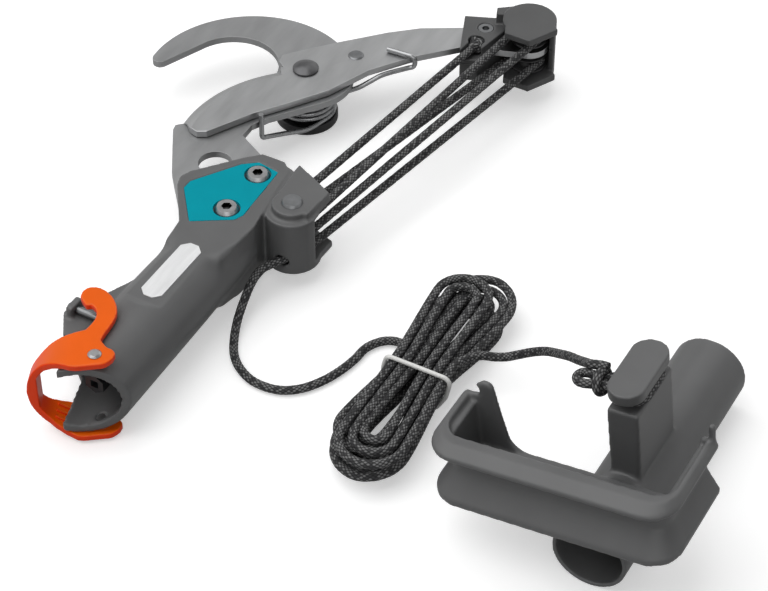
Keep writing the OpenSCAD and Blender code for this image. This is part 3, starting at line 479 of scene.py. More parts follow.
def make_finishes(s):
    """Makes each finish but the rope's."""
    dark = [c * 0.62 for c in s.moulding]
    bright = [c * 1.25 for c in s.steel]
    finish("Moulded grey", s.moulding, spread=0.07, rough=0.42, scale=45, bump=0.16, grain=1500)
    finish("Dark moulding", dark, spread=0.09, rough=0.4, scale=45, bump=0.16, grain=1500)
    finish("Black plastic", s.black, spread=0.15, rough=0.4, scale=60, bump=0.12, grain=1500)
    finish("Dark sheave", (0.03, 0.03, 0.031), spread=0.15, rough=0.4, scale=90, bump=0.1)
    finish("Turquoise inlay", s.inlay, spread=0.04, rough=0.5, scale=70, bump=0.1, grain=1800, specular=0.06)
    finish("Plaque metal", (0.82, 0.825, 0.83), spread=0.06, rough=0.36, scale=300, metallic=0.4,
           stretch=(0.15, 1, 1), bump=0.08)
    finish("Hook steel", s.steel, spread=0.07, rough=0.42, scale=160, metallic=1.0, stretch=(0.25, 1, 1),
           bump=0.1, turn=0.5)
    finish("Lever steel", bright, spread=0.07, rough=0.36, scale=160, metallic=1.0, stretch=(0.2, 1, 1),
           bump=0.1, turn=0.9)
    finish("Zinc steel", (0.2, 0.205, 0.21), spread=0.1, rough=0.36, scale=260, metallic=1.0, bump=0.06)
    # The bright bolts carry painted shade in their sockets
    finish("Bright bolt", (0.36, 0.36, 0.365), spread=0.1, rough=0.34, scale=260, metallic=1.0, bump=0.06,
           recess_shade=4 * MM)
    finish("Dark bolt", (0.1, 0.1, 0.103), spread=0.15, rough=0.36, scale=220, metallic=0.9, bump=0.06)
    finish("Spring wire", (0.34, 0.345, 0.35), spread=0.08, rough=0.28, scale=240, metallic=1.0, bump=0.05)
    # The lock clip carries painted shade on its upright faces
    finish("Orange clip", s.clip, spread=0.05, rough=0.34, scale=40, coat=0.12, bump=0.05,
           rough_spread=0.04, specular=0.15, flank_shade=s.clip_flank_shade)
    finish("White tie", (0.78, 0.78, 0.76), spread=0.04, rough=0.38, scale=120, bump=0.05)


def finishes():
    """The finishes by name, made once."""
    if "Moulded grey" not in bpy.data.materials:
        make_finishes(bpy.context.scene.lopper_finish)
        rope_material(bpy.context.scene.lopper_finish, bpy.context.scene.lopper_rope)
    return {key: bpy.data.materials[name] for key, name in FINISH_NAMES.items()}


# Geometry Nodes

def new_tree(name, inputs):
    """A tree with a geometry in and out and named inputs, and a helper that adds a node."""
    tree = bpy.data.node_groups.new(name, "GeometryNodeTree")
    tree.interface.new_socket("Geometry", in_out="INPUT", socket_type="NodeSocketGeometry")
    for label, kind in inputs:
        tree.interface.new_socket(label, in_out="INPUT", socket_type=kind)
    tree.interface.new_socket("Geometry", in_out="OUTPUT", socket_type="NodeSocketGeometry")

    def add(kind, **values):
        node = tree.nodes.new(kind)
        for key, value in values.items():
            setattr(node, key, value)
        return node

    return tree, add, tree.links.new


def line_and_ring(add, link, given):
    """The mesh's lines as curves with even steps, and the ring that is drawn along them."""
    line = add("GeometryNodeMeshToCurve")
    link(given.outputs["Geometry"], line.inputs["Mesh"])
    even = add("GeometryNodeResampleCurve", mode="LENGTH")
    link(line.outputs["Curve"], even.inputs["Curve"])
    link(given.outputs["Step"], even.inputs["Length"])
    ring = add("GeometryNodeCurvePrimitiveCircle", mode="RADIUS")
    link(given.outputs["Sides"], ring.inputs["Resolution"])
    link(given.outputs["Radius"], ring.inputs["Radius"])
    return even.outputs["Curve"], ring.outputs["Curve"]


def stored(add, link, curve, name, value):
    """The curve with a number kept on each point under a name."""
    store = add("GeometryNodeStoreNamedAttribute", data_type="FLOAT", domain="POINT")
    store.inputs["Name"].default_value = name
    link(curve, store.inputs["Geometry"])
    link(value, store.inputs["Value"])
    return store.outputs["Geometry"]


def tube_along(add, link, line, ring):
    """A tube with closed ends: the ring drawn along the line."""
    tube = add("GeometryNodeCurveToMesh")
    tube.inputs["Fill Caps"].default_value = True
    link(line, tube.inputs["Curve"])
    link(ring, tube.inputs["Profile Curve"])
    return tube.outputs["Mesh"]


def rope_tree(strands, lay):
    """A braided tube along each line of the mesh, with its strands raised and each point's place kept."""
    if "Braid along a line" in bpy.data.node_groups:
        return bpy.data.node_groups["Braid along a line"]
    tree, add, link = new_tree("Braid along a line", [
        ("Radius", "NodeSocketFloat"), ("Sides", "NodeSocketInt"), ("Step", "NodeSocketFloat"),
        ("Relief", "NodeSocketFloat"), ("Material", "NodeSocketMaterial")])
    nodes, links = tree.nodes, tree.links
    given, out = add("NodeGroupInput"), add("NodeGroupOutput")
    line, ring = line_and_ring(add, link, given)
    line = stored(add, link, line, "along", add("GeometryNodeSplineParameter").outputs["Length"])
    round_share = add("GeometryNodeSplineParameter").outputs["Factor"]
    turn = math_node(nodes, links, "MULTIPLY", round_share, 2 * math.pi)
    for name, wave in (("ring_x", "COSINE"), ("ring_y", "SINE")):
        ring = stored(add, link, ring, name, math_node(nodes, links, wave, turn))
    tube = tube_along(add, link, line, ring)
    fields = []
    for name in RING_FIELDS:
        field = add("GeometryNodeInputNamedAttribute", data_type="FLOAT")
        field.inputs["Name"].default_value = name
        fields.append(field.outputs["Attribute"])
    height = braid_height(nodes, links, *fields, strands, lay)[0]
    height = math_node(nodes, links, "SUBTRACT", height, STRAND_LEVEL)
    push = add("ShaderNodeVectorMath", operation="SCALE")
    link(add("GeometryNodeInputNormal").outputs["Normal"], push.inputs[0])
    link(math_node(nodes, links, "MULTIPLY", height, given.outputs["Relief"]), push.inputs["Scale"])
    moved = add("GeometryNodeSetPosition")
    link(tube, moved.inputs["Geometry"])
    link(push.outputs["Vector"], moved.inputs["Offset"])
    end_tree(add, link, moved.outputs["Geometry"], given, out)
    return tree


def wire_tree():
    """A smooth round wire along each line of the mesh."""
    if "Wire along a line" in bpy.data.node_groups:
        return bpy.data.node_groups["Wire along a line"]
    tree, add, link = new_tree("Wire along a line", [
        ("Radius", "NodeSocketFloat"), ("Sides", "NodeSocketInt"), ("Step", "NodeSocketFloat"),
        ("Material", "NodeSocketMaterial")])
    given, out = add("NodeGroupInput"), add("NodeGroupOutput")
    line, ring = line_and_ring(add, link, given)
    end_tree(add, link, tube_along(add, link, line, ring), given, out)
    return tree


def end_tree(add, link, geometry, given, out):
    """Ends a tree: smooth shading, real geometry and the material."""
    shaded = add("GeometryNodeSetShadeSmooth")
    link(geometry, shaded.inputs["Geometry"])
    real = add("GeometryNodeRealizeInstances")
    link(shaded.outputs["Geometry"], real.inputs["Geometry"])
    painted = add("GeometryNodeSetMaterial")
    link(real.outputs["Geometry"], painted.inputs["Geometry"])
    link(given.outputs["Material"], painted.inputs["Material"])
    link(painted.outputs["Geometry"], out.inputs["Geometry"])


def grow(name, lines, tree, **values):
    """A plain mesh that the tree makes along the lines, which are in millimetres."""
    start = bpy.data.meshes.new(name + "_line")
    points, edges = [], []
    for line in lines:
        edges += [(len(points) + i, len(points) + i + 1) for i in range(len(line) - 1)]
        points += [tuple(float(c) * MM for c in p) for p in line]
    start.from_pydata(points, edges, [])
    carrier = bpy.data.objects.new(name + "_line", start)
    bpy.context.scene.collection.objects.link(carrier)
    modifier = carrier.modifiers.new("Grow", "NODES")
    modifier.node_group = tree
    for item in tree.interface.items_tree:
        if item.in_out == "INPUT" and item.name in values:
            modifier[item.identifier] = values[item.name]
    return settle(carrier, name)


def settle(carrier, name):
    """The evaluated carrier as a plain mesh object at the origin; the carrier goes."""
    graph = bpy.context.evaluated_depsgraph_get()
    mesh = bpy.data.meshes.new_from_object(carrier.evaluated_get(graph), depsgraph=graph)
    mesh.name = name
    made = bpy.data.objects.new(name, mesh)
    bpy.context.scene.collection.objects.link(made)
    bpy.data.objects.remove(carrier)
    if not mesh.polygons:
        raise RuntimeError(f"{name} came out empty")
    return made


def dress(piece, body, slot, *nodes):
    """The piece rides on a body and stands for its nodes."""
    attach(piece, body)
    if nodes:
        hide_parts(*nodes)
    return piece


def rope_piece(name, lines):
    """Braided rope along the lines."""
    rope = bpy.context.scene.lopper_rope
    return grow(name, lines, rope_tree(rope.strands, rope.lay), Radius=rope.diameter / 2, Sides=rope.sides,
                Step=rope.step * 1, Relief=rope.relief, Material=finishes()["rope"])


def wire_piece(name, lines, radius, sides, step, finish_name):
    """Smooth wire along the lines, with its radius and step in millimetres."""
    return grow(name, lines, wire_tree(), Radius=radius * MM, Sides=sides, Step=step * MM,
                Material=finishes()[finish_name])


# Routes of the rope, in millimetres

HAUL = unit(LEVER_AXLE - BODY_AXLE)
HAUL_ANGLE = angle_of(HAUL)
LEVER_REACH = LEVER_AXLE - PIVOT
CLOSED_AXLE = PIVOT + np.linalg.norm(LEVER_REACH) * at_angle(angle_of(LEVER_REACH) - CLOSING)
CLOSED_ANGLE = angle_of(CLOSED_AXLE - BODY_AXLE)


def tackle_lines():
    """The tackle's rope: what stays with the head, goes with the lever, and shortens between them."""
    anchor = LEVER_AXLE + ANCHOR_AT[0] * at_angle(BLOCK_DIR) + ANCHOR_AT[1] * at_angle(BLOCK_DIR + 90)
    away = anchor - BODY_AXLE
    touching = angle_of(away) + math.degrees(math.acos(SHEAVE_R / np.linalg.norm(away)))
    first = BODY_AXLE + SHEAVE_R * at_angle(touching)
    start = anchor + (ANCHOR_R - ANCHOR_OVERLAP) * unit(first - anchor)
    share = 2 * SHEAVE_R / np.linalg.norm(LEVER_AXLE - BODY_AXLE)
    cross = HAUL * share - np.array([-HAUL[1], HAUL[0]]) * math.sqrt(1 - share * share)
    turn_back = HAUL_ANGLE - CLOSED_ANGLE
    lever_more = CLOSING - turn_back

    def on_body(a):
        return BODY_AXLE + SHEAVE_R * at_angle(a)

    def on_lever(a):
        return LEVER_AXLE + SHEAVE_R * at_angle(a)

    left, right = HAUL_ANGLE + 90, HAUL_ANGLE - 90
    exit_from = on_body(EXIT_TURN)
    exit_at = exit_from + EXIT_RUN * at_angle(EXIT_TURN - 90)
    top_from, top_to = angle_of(first - BODY_AXLE) - turn_back, 360 + angle_of(cross)
    head = [
        lift(arc(BODY_AXLE, SHEAVE_R, top_from, top_to, 24), BODY_Z[0]),
        lift(arc(BODY_AXLE, SHEAVE_R, HAUL_ANGLE + 270, left - turn_back, 24), BODY_Z[1]),
        lift([*arc(BODY_AXLE, SHEAVE_R, right, EXIT_TURN, 6), exit_at], BODY_Z[2]),
    ]
    lever = [
        lift(arc(LEVER_AXLE, SHEAVE_R, angle_of(-cross) + lever_more, right, 24), LEVER_Z[0]),
        lift(arc(LEVER_AXLE, SHEAVE_R, left + lever_more, right, 24), LEVER_Z[1]),
    ]

    def strand(a, za, b, zb):
        return [np.array([*mix(a, b, i / 10), mix(za, zb, i / 10)]) for i in range(11)]

    strands = [
        strand(start, ANCHOR_Z, first, BODY_Z[0]),
        strand(BODY_AXLE + SHEAVE_R * cross, BODY_Z[0], LEVER_AXLE - SHEAVE_R * cross, LEVER_Z[0]),
        strand(on_lever(right), LEVER_Z[0], on_body(right), BODY_Z[1]),
        strand(on_body(left), BODY_Z[1], on_lever(left), LEVER_Z[1]),
        strand(on_lever(right), LEVER_Z[1], on_body(right), BODY_Z[2]),
    ]
    return head, lever, strands, np.array([*exit_at, BODY_Z[2]]), np.array([*anchor, ANCHOR_Z])


# Loops lie a step apart at the bends and a waist apart in the middle, and clear of the floor for the tie
HANK = {"length": 140, "turns": 2, "step": 5.6, "waist": 5.6, "layer": 5.35, "layers": 4, "clear": 1.8,
        "points": 96}
# By layer from the floor up: radius of the inmost bend, turn, shift, and slack of the outer loops' two ends
HANK_LAYERS = np.array([
    [9.0, -2.0, 0.0, 0.0, 0.0],
    [7.6, 3.0, -3.0, 3.0, 0.5],
    [6.2, -3.5, 3.0, 0.5, 3.5],
    [4.8, 4.0, -1.5, 5.0, 1.5],
])


def hank_point(t):
    """A point of the hank after some turns: layers of loops, drawn in at the waist, wound in and out."""
    # A layer has its turns and half a turn that climbs to the next, and starts a quarter of a turn early
    turns, last = HANK["turns"], HANK["layers"] - 1
    per_layer = turns + 0.5
    layer = math.floor((t + 0.25) / per_layer)
    done = t + 0.25 - layer * per_layer
    wound = min(done, turns) if layer < last else done
    inset = wound if layer % 2 == 0 else turns - wound
    climbed = layer + max(0, done - turns) / 0.5 if layer < last else layer
    q = t - math.floor(t)
    side = 1 if q < 0.5 else -1
    low = min(int(climbed), last - 1)
    fold, turned, shift, slack_a, slack_b = mix(HANK_LAYERS[low], HANK_LAYERS[low + 1], climbed - low)
    r = fold + HANK["step"] * (turns - inset)
    half = HANK["length"] / 2 - ROPE_R - HANK["step"] * inset - r
    half += (slack_a if side > 0 else slack_b) * (turns - inset) / turns
    waist = HANK["waist"] * (turns - inset) + HANK["waist"] / 2
    # Half a turn has 12 parts: 3 out to the bend, 6 round it and 3 back to the waist
    part = (q if q < 0.5 else q - 0.5) * 24
    out = min(part, 12 - part) / 3
    if out >= 1:
        turn = math.radians(180 * (part - 3) / 6)
        flat = np.array([-half - r * math.sin(turn), r * math.cos(turn)])
    else:
        flat = np.array([-half * out, (1 if part < 3 else -1) * mix(waist, r, ease(out))])
    base = FLOOR_Z + HANK["clear"] + ROPE_R
    c, s = at_angle(turned)
    x, y = side * flat
    return np.array([HANK_AT[0] + shift + c * x - s * y, HANK_AT[1] + s * x + c * y,
                     base + HANK["layer"] * climbed])


def free_rope(exit_at):
    """The rope from the head to the hank, the hank, and on to the grip."""
    lie = FLOOR_Z + ROPE_LIES
    total, points = HANK["layers"] * (HANK["turns"] + 0.5) - 0.5, HANK["points"]
    hank = [hank_point(min(i / points, total - 1e-6)) for i in range(round(total * points) + 1)]
    start, end = hank[0], hank[-1]
    lead = [exit_at, np.array([*(exit_at[:2] + 5.4 * at_angle(157)), exit_at[2] - 0.5])]
    lead += [np.array(p) for p in (
        (100, -22.6, -10), (90, -23.5, -15), (80, -25.5, -20), (71, -29, lie + 0.9))]
    lead += lift([
        (63, -34), (56.5, -41), (52, -50), (51, -59), (53, -68), (59, -76), (68, -82), (78, -86),
        (89, -88.5), (99, -89.5), (107, -94)], lie)
    lead += [np.array([110.5, -101, lie + 0.3]), np.array([108, -107.5, lie + 0.9])]
    lead += [start + [10.8, 0.6, -0.2], start + [4.5, 0, 0]]
    tail = [end + [4.5, 0, 0], end + [9.9, -1.2, -0.2]]
    tail += [np.array(p) for p in (
        (108, -149, -9.5), (112.5, -154.5, -11.5), (115, -160, -11), (115.8, -166.5, -7),
        (115.1, -174.2, -1), (111.2, -183, 7), (104.3, -193.2, 16), (96.5, -201.5, 25),
        (87.8, -209.8, 34), (80, -217, 42.5))]
    tail += [on_grip(np.array(p)) for p in ((58, 22.5, 61.8), (57.2, 17, 63.6), (56.8, 13, 64))]
    return smooth([*lead, start])[:-1] + hank[:-1] + smooth([end, *tail])


def knot_line(centre, reach, rise, count=72):
    """A small overhand knot: a trefoil drawn tight."""
    line = []
    for i in range(count + 1):
        a = 2 * math.pi * i / count
        out = reach * (math.sin(a) + 2 * math.sin(2 * a)) / 3
        across = reach * (math.cos(a) - 2 * math.cos(2 * a)) / 3
        line.append(centre + np.array([out, across, -rise * math.sin(3 * a)]))
    return line


# Stage, in metres and watts

LOOK_AT = Vector((0.1143, -0.0915, 0))
SENSOR_MM = 36
# Place, size and power
LAMPS = {
    "Window lamp": ((-0.2, 0.7, 1.9), 2.6, 40.0),
    "Front lamp": ((-1.6, -1.1, 1.2), 1.8, 9.0),
    "Rim lamp": ((1.6, -0.2, 1.2), 1.6, 6.0),
}
# The background's light on the pieces, and what gloss shows of it from the horizon up to a height
SKY_LIGHT = 0.22
SKY_HEIGHTS = (0.05, 0.75)
SKY_IN_GLOSS = (0.95, 0.4)
# The floor's half side, its gap under the pieces, its tones unseen and seen, and its glow near and far
FLOOR_HALF = 4.0
FLOOR_GAP = 0.3 * MM
FLOOR_TONES = (0.35, 0.82)
FLOOR_IN_GLOSS = 0.35
FLOOR_GLOW = (0.42, 1.0)
FLOOR_RANGE = (0.6, 1.6)


# Operators

class LOPPER_OT_stage(bpy.types.Operator):
    """Make the camera, the lamps and the pale floor"""

    bl_idname = "lopper.stage"
    bl_label = "Stage"

    def execute(self, context):
        s = context.scene.lopper_stage
        scene = context.scene
        scene.view_settings.view_transform = "Standard"
        lens = bpy.data.cameras.new("Photo camera")
        lens.lens = s.lens
        lens.sensor_width = SENSOR_MM
        camera = bpy.data.objects.new("Photo camera", lens)
        level = math.cos(s.elevation)
        back = Vector((math.sin(s.azimuth) * level, -math.cos(s.azimuth) * level, math.sin(s.elevation)))
        self.aim(scene, camera, LOOK_AT + back * s.distance, -back)
        scene.camera = camera
        self.world(scene, s)
        self.floor(scene, s)
        for name, (place, size, power) in LAMPS.items():
            light = bpy.data.lights.new(name, "AREA")
            light.size = size
            light.energy = power * s.lamp
            self.aim(scene, bpy.data.objects.new(name, light), place, LOOK_AT - Vector(place))
        return {"FINISHED"}

    @staticmethod
    def aim(scene, thing, place, way):
        """Puts a camera or lamp at a place, looking one way."""
        thing.location = place
        thing.rotation_mode = "QUATERNION"
        thing.rotation_quaternion = way.to_track_quat("-Z", "Y")
        scene.collection.objects.link(thing)

    @staticmethod
    def seen_ray(nodes, links, in_gloss):
        """1 for what the camera sees straight or through glass, and a share for what it sees in gloss."""
        rays = nodes.new("ShaderNodeLightPath")
        straight = math_node(nodes, links, "MAXIMUM", rays.outputs["Is Camera Ray"],
                             rays.outputs["Is Transmission Ray"])
        gloss = math_node(nodes, links, "MULTIPLY", rays.outputs["Is Glossy Ray"], in_gloss)
        return math_node(nodes, links, "MAXIMUM", straight, gloss)

    def world(self, scene, s):
        """A pale background that gives little light of its own."""
        world = bpy.data.worlds.new("Studio")
        scene.world = world
        world.use_nodes = True
        nodes, links = world.node_tree.nodes, world.node_tree.links
        background = nodes["Background"]
        background.inputs["Color"].default_value = (*s.paper, 1)
        place = nodes.new("ShaderNodeTexCoord")
        split = nodes.new("ShaderNodeSeparateXYZ")
        links.new(place.outputs["Generated"], split.inputs["Vector"])
        sky = map_range(nodes, links, split.outputs["Z"], SKY_HEIGHTS, SKY_IN_GLOSS)
        seen = self.seen_ray(nodes, links, sky)
        links.new(math_node(nodes, links, "MAXIMUM", seen, SKY_LIGHT), background.inputs["Strength"])

    def floor(self, scene, s):
        """A paper floor that keeps the shadow and turns into the background far away."""
        mesh = bpy.data.meshes.new("Floor")
        z = FLOOR_Z * MM - FLOOR_GAP
        corners = [(FLOOR_HALF * x, FLOOR_HALF * y, z) for x, y in ((-1, -1), (1, -1), (1, 1), (-1, 1))]
        mesh.from_pydata(corners, [], [(0, 1, 2, 3)])
        floor = bpy.data.objects.new("Floor", mesh)
        scene.collection.objects.link(floor)
        made, nodes, links = blank_material("Paper")
        nodes.remove(nodes["Principled BSDF"])
        seen = self.seen_ray(nodes, links, FLOOR_IN_GLOSS)
        matt = nodes.new("ShaderNodeBsdfDiffuse")
        tones = [[tone * c for c in s.paper] for tone in FLOOR_TONES]
        links.new(colour_mix(nodes, links, seen, *tones), matt.inputs["Color"])
        glow = nodes.new("ShaderNodeEmission")
        glow.inputs["Color"].default_value = (*s.paper, 1)
        place = nodes.new("ShaderNodeTexCoord")
        away = nodes.new("ShaderNodeVectorMath")
        away.operation = "LENGTH"
        links.new(place.outputs["Object"], away.inputs[0])
        paler = map_range(nodes, links, away.outputs["Value"], FLOOR_RANGE, FLOOR_GLOW, "SMOOTHSTEP")
        links.new(math_node(nodes, links, "MULTIPLY", seen, paler), glow.inputs["Strength"])
        both = nodes.new("ShaderNodeAddShader")
        links.new(matt.outputs["BSDF"], both.inputs[0])
        links.new(glow.outputs["Emission"], both.inputs[1])
        links.new(both.outputs["Shader"], nodes["Material Output"].inputs["Surface"])
        mesh.materials.append(made)


class LOPPER_OT_ropes(bpy.types.Operator):
    """Lay the free rope with its hank, the tackle and the knots"""

    bl_idname = "lopper.ropes"
    bl_label = "Ropes"

    def execute(self, context):
        head, lever, strands, exit_at, anchor = tackle_lines()
        line = free_rope(exit_at)
        rope = rope_piece("rope", [line])
        dress(rope, "head", "rope", "rope_lead", "rope_hank", "rope_tail")
        noose = self.noose()
        tie = self.tie(line)
        length_of(line) * MM
        dress(rope_piece("tackle_at_head", head), "head", "rope", "tackle_rope")
        dress(rope_piece("tackle_at_lever", lever), "lever", "rope", "tackle_rope")
        between = dress(rope_piece("tackle_strands", strands), "head", "rope", "tackle_rope")
        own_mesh(between)
        knot = rope_piece("anchor_stopper", [knot_line(anchor, 3.0, 1.6)])
        dress(knot, "lever", "rope", "anchor_knot")
        return {"FINISHED"}

    @staticmethod
    def noose():
        """The rope's end: a bight beside the grip, two strands round the post, and a turn that binds them."""
        r, half = POST_WIDE / 2 + NOOSE_GAP + ROPE_R, POST_LONG / 2 - POST_WIDE / 2
        flat = [
            (50.2, 9.5), (50.0, 13.5), (48.9, 17.5), (47.9, 21),
            *arc(np.array([51.4, 22.8]), 3.5, 180, 0, 10),
            (54.8, 21), (54.6, 17.5), (54.8, 13.5), (57.5, 9.8), (62, 7.3),
            *arc(POST_AT + [half, 0], r, 80, -90, 14), *arc(POST_AT - [half, 0], r, 270, 100, 14)]
        flat += flat[:2]
        loop = rope_piece("noose", [[on_grip(p) for p in smooth(lift(flat, KNOT_AT[2]), 3)]])
        dress(loop, "head", "rope", "rope_noose")
        wide, lean, high, shift, rounds = 5.6, 0.9, 4.5, (-0.2, -3.2), 1.06
        turn = [on_grip(KNOT_AT + [wide * math.cos(a) + shift[0], lean * math.sin(a) + shift[1],
                                   high * math.sin(a)])
                for a in np.linspace(0, 2 * math.pi * rounds, 52)]
        knot = rope_piece("noose_hitch", [turn])
        dress(knot, "head", "rope", "noose_knot")
        return [loop, knot]

    @staticmethod
    def tie(line):
        """A round band drawn tight over the strands that pass the hank's waist."""
        x, out_by = HANK_AT[0] - TIE_BACK, ROPE_R + TIE_GAP + TIE_R
        near, count, passes = 25, 120, 6
        strands = [mix(a, b, (x - a[0]) / (b[0] - a[0]))[1:] for a, b in zip(line, line[1:])
                   if (a[0] - x) * (b[0] - x) < 0 and abs(a[1] - HANK_AT[1]) < near]
        loop = []
        for i in range(count + 1):
            out = at_angle(360 / count * i)
            loop.append(max(strands, key=lambda c: float(c @ out)) + out_by * out)
        for _ in range(passes):
            loop = [(loop[i - 1] + 2 * loop[i] + loop[(i + 1) % count]) / 4 for i in range(count)]
        loop = [np.array([x, p[0], max(p[1], FLOOR_Z + TIE_R)]) for p in loop]
        band = wire_piece("tie_band", [[*loop, loop[0], loop[1]]], TIE_R, sides=12, step=1.0, finish_name="tie")
        return dress(band, "head", "tie", "hank_tie")


class LOPPER_OT_spring(bpy.types.Operator):
    """Wind the return spring, with one leg over the hook plate and one round the lever"""

    bl_idname = "lopper.spring"
    bl_label = "Return spring"

    def execute(self, context):
        sweep = COIL_TURNS * 360 + COIL_END - COIL_START
        top = HOOK_UNDER - WIRE_GAP - WIRE_R - COIL_DROP
        bottom = top - COIL_PITCH * sweep / 360
        under, over = LEVER_UNDER - WIRE_GAP - WIRE_R, LEVER_TOP + WIRE_R + WIRE_OVER

        def coil(a):
            return np.array([*(PIVOT + COIL_R * at_angle(COIL_START + a)), bottom + COIL_PITCH * a / 360])

        turns = [coil(a) for a in np.arange(0, sweep + 0.1, 10)]
        fixed = [np.array([*HEAD_LEG_AT, z]) for z in (8, 4, 0, -4, -6.6)]
        fixed += [np.array([*(HEAD_LEG_AT + [0.9, -0.3]), -8.4])]
        fixed += [np.array([*mix(HEAD_LEG_AT, turns[0][:2], t), mix(-8, bottom, min(1, t / 0.7))])
                  for t in (0.1, 0.4, 0.7, 1)]
        away, heading = PIVOT + COIL_R * at_angle(COIL_END), at_angle(COIL_END + 90)
        leg = [np.array([*(away + d * heading), z]) for d, z in (
            (0, top), (12, top), (24, top), (32, mix(top, under, 0.5)), (40, under), (54, under))]
        leg += [np.array(p) for p in (
            (284, -15.6, under + 0.4), (284.4, -16.6, LEVER_UNDER + 0.3), (284.5, -16.8, LEVER_UNDER + 2.7),
            (284.4, -15.8, over - 0.7), (284.2, -13.5, over), (283.9, -7, over), (283.5, 0, over))]
        for name, line in (("spring_coil", turns), ("spring_head_leg", smooth(fixed, 6)),
                           ("spring_lever_leg", smooth(leg, 6))):
            piece = wire_piece(name, [line], WIRE_R, sides=14, step=1.2, finish_name="spring_steel")
            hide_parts("return_spring")
            if name == "spring_coil":
                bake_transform(piece)
            else:
                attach(piece, "head" if name == "spring_head_leg" else "lever")
        return {"FINISHED"}


class LOPPER_OT_mouldings(bpy.types.Operator):
    """Round the edges of the moulded pieces: body, block halves, grip, its cap and the lock clip"""

    bl_idname = "lopper.mouldings"
    bl_label = "Mouldings"

    # Piece, node, body, slot, and the size of the skin's faces as a share of the grain
    SKINS = (
        ("head_moulding", "head_body", "head", "body", 0.85),
        ("grip_moulding", "grip_frame", "head", "body", 0.96),
        ("post_cap_moulding", "grip_post_cap", "head", "body", 0.6),
        ("block_upper_moulding", "block_upper", "lever", "body", 0.5),
        ("block_lower_moulding", "block_lower", "lever", "body", 0.5),
        ("clip_moulding", "lock_clip", "clip", "clip", 0.5),
    )
    DARK = ("block_upper", "block_lower")

    def execute(self, context):
        for name, node, body, slot, share in self.SKINS:
            if node == "head_body":
                piece = self.drawn_out(self.rounded(context, "head_skin", node, share), name)
            else:
                piece = self.rounded(context, name, node, share)
            piece.data.materials.clear()
            piece.data.materials.append(finishes()["dark_body" if node in self.DARK else slot])
            dress(piece, body, slot, node)
        self.ribs()
        return {"FINISHED"}

    @staticmethod
    def ribs():
        """Three ribs for a finger, inside the lock clip where its lower plate bends up into the band."""
        along, across = at_angle(CLIP_DIR), at_angle(CLIP_DIR + 90)
        lines = []
        for v in RIB_PLACES:
            line = []
            for u in np.linspace(*RIB_ENDS, 9):
                drop = math.sqrt(CLIP_INNER ** 2 - (u - CLIP_BEND) ** 2)
                line.append(np.array([*(CLIP_AT + u * along + v * across), RIB_SEAT - drop]))
            lines.append(line)
        piece = wire_piece("clip_ribs", lines, RIB_R, sides=10, step=1.0, finish_name="clip")
        dress(piece, "clip", "clip")

    @staticmethod
    def rounded(context, name, node, share):
        """A skin of even faces over a solid, with its edges rounded."""
        s = context.scene.lopper_skin
        copy = bpy.data.objects.new(name + "_raw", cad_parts[node].data.copy())
        context.scene.collection.objects.link(copy)
        shape = bmesh.new()
        shape.from_mesh(copy.data)
        bmesh.ops.remove_doubles(shape, verts=shape.verts, dist=SAME_POINT)
        shape.to_mesh(copy.data)
        shape.free()
        remesh = copy.modifiers.new("Even faces", "REMESH")
        remesh.mode = "VOXEL"
        remesh.voxel_size = s.grain * share * 1
        remesh.use_smooth_shade = True
        smoothing = copy.modifiers.new("Round edges", "SMOOTH")
        smoothing.factor = 0.5
        smoothing.iterations = s.passes
        return settle(copy, name)

    @staticmethod
    def drawn_out(skin, name):
        """The head's skin with the steps between its barrel and its block drawn out, beside the plaque."""
        steps = skin.vertex_groups.new(name="Steps")
        for vertex in skin.data.vertices:
            x, y, z = (c / MM for c in vertex.co)
            weight = ease(max(0.0, 1 - abs(x - STEP_X) / STEP_REACH))
            if z > DECK_Z - DECK_DEPTH:
                weight *= ease(min(1.0, max(0.0, (abs(y) - PLAQUE_HALF) / PLAQUE_MARGIN)))
            if weight > 0:
                steps.add([vertex.index], weight, "REPLACE")
        drawing = skin.modifiers.new("Draw out", "SMOOTH")
        drawing.factor = 0.5
        drawing.iterations = STEP_PASSES
        drawing.vertex_group = "Steps"
        return settle(skin, name)


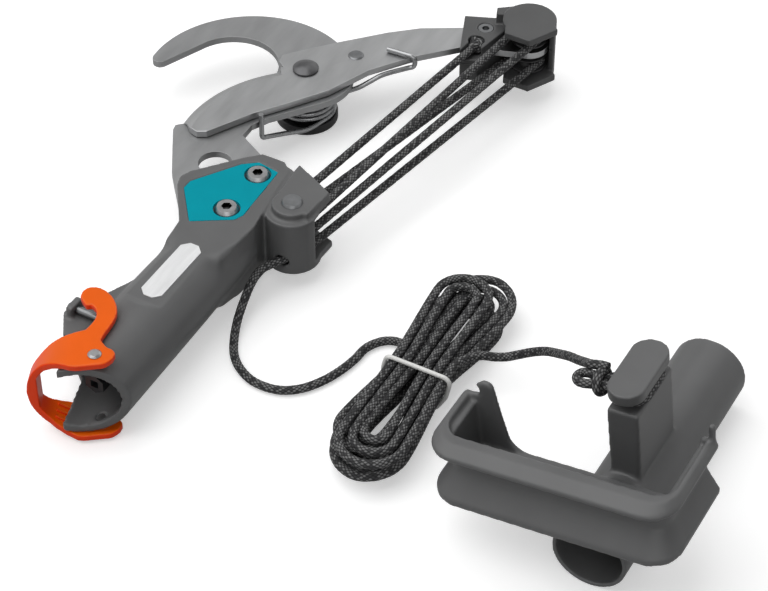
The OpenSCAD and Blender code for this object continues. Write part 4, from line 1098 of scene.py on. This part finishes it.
class LOPPER_OT_plates(bpy.types.Operator):
    """Give the blades, the fasteners and the small pieces their finishes and soft edges"""

    bl_idname = "lopper.plates"
    bl_label = "Blades and fasteners"

    # Slot, and the width of the soft edges in millimetres
    SLOTS = {
        "hook_plate": ("hook_steel", 0.35),
        "cutting_lever": ("lever_steel", 0.3),
        "top_inlay": ("inlay", 0.05),
        "plaque": ("plaque", 0.15),
        "clamp_bolts": ("fastener", 0.3),
        "clamp_nuts": ("fastener", 0.2),
        "pole_stub": ("black_plastic", 0.4),
        "latch_pin": ("fastener", 0.2),
        "clip_rivets": ("fastener", 0.2),
        "stop_pin": ("fastener", 0.2),
        "pivot_bolt": ("dark_fastener", 0.3),
        "pivot_nut": ("dark_fastener", 0.3),
        "spring_core": ("black_plastic", 0.3),
        "spring_cap": ("black_plastic", 0.6),
        "block_screw": ("fastener", 0.2),
        "block_nut": ("fastener", 0.2),
        "lever_axle_pin": ("fastener", 0.3),
        "body_axle_pin": ("fastener", 0.3),
        "lever_sheave_upper": ("sheave", 0.3),
        "lever_sheave_lower": ("sheave", 0.3),
        "body_sheave_top": ("sheave", 0.3),
        "body_sheave_middle": ("sheave", 0.3),
        "body_sheave_bottom": ("sheave", 0.3),
    }
    BRIGHT = ("clamp_bolts", "clip_rivets")
    EDGE_ANGLE = math.radians(32)

    def execute(self, context):
        for name, (slot, width) in self.SLOTS.items():
            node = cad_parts[name]
            node.data.materials.clear()
            node.data.materials.append(finishes()["bright_fastener" if name in self.BRIGHT else slot])
            weld = node.modifiers.new("Join faces", "WELD")
            weld.merge_threshold = SAME_POINT
            edge = node.modifiers.new("Soft edges", "BEVEL")
            edge.width = width * MM
            edge.segments = 2
            edge.limit_method = "ANGLE"
            edge.angle_limit = self.EDGE_ANGLE
            flats = node.modifiers.new("Flat faces", "WEIGHTED_NORMAL")
            flats.keep_sharp = True
        return {"FINISHED"}


class LOPPER_PT_panel(bpy.types.Panel):
    """Sidebar with the lopping head's steps and settings"""

    bl_label = "Lopping head"
    bl_idname = "LOPPER_PT_panel"
    bl_space_type = "VIEW_3D"
    bl_region_type = "UI"
    bl_category = "Lopping head"

    def draw(self, context):
        for operator in OPERATORS:
            self.layout.operator(operator.bl_idname)
        for group in GROUPS:
            settings = getattr(context.scene, group)
            for name in settings.bl_rna.properties.keys():
                if name not in ("rna_type", "name"):
                    self.layout.prop(settings, name)


OPERATORS = (LOPPER_OT_stage, LOPPER_OT_ropes, LOPPER_OT_spring, LOPPER_OT_mouldings, LOPPER_OT_plates)
GROUPS = {"lopper_finish": LopperFinish, "lopper_rope": LopperRope, "lopper_skin": LopperSkin,
          "lopper_stage": LopperStage}


def register():
    for cls in (*GROUPS.values(), *OPERATORS, LOPPER_PT_panel):
        bpy.utils.register_class(cls)
    for name, cls in GROUPS.items():
        setattr(bpy.types.Scene, name, bpy.props.PointerProperty(type=cls))


def unregister():
    for name in GROUPS:
        delattr(bpy.types.Scene, name)
    for cls in reversed((*GROUPS.values(), *OPERATORS, LOPPER_PT_panel)):
        bpy.utils.unregister_class(cls)


def main():
    register()
    bpy.ops.lopper.stage()
    bpy.ops.lopper.ropes()
    bpy.ops.lopper.spring()
    bpy.ops.lopper.mouldings()
    bpy.ops.lopper.plates()


if __name__ == "__main__":
    main()
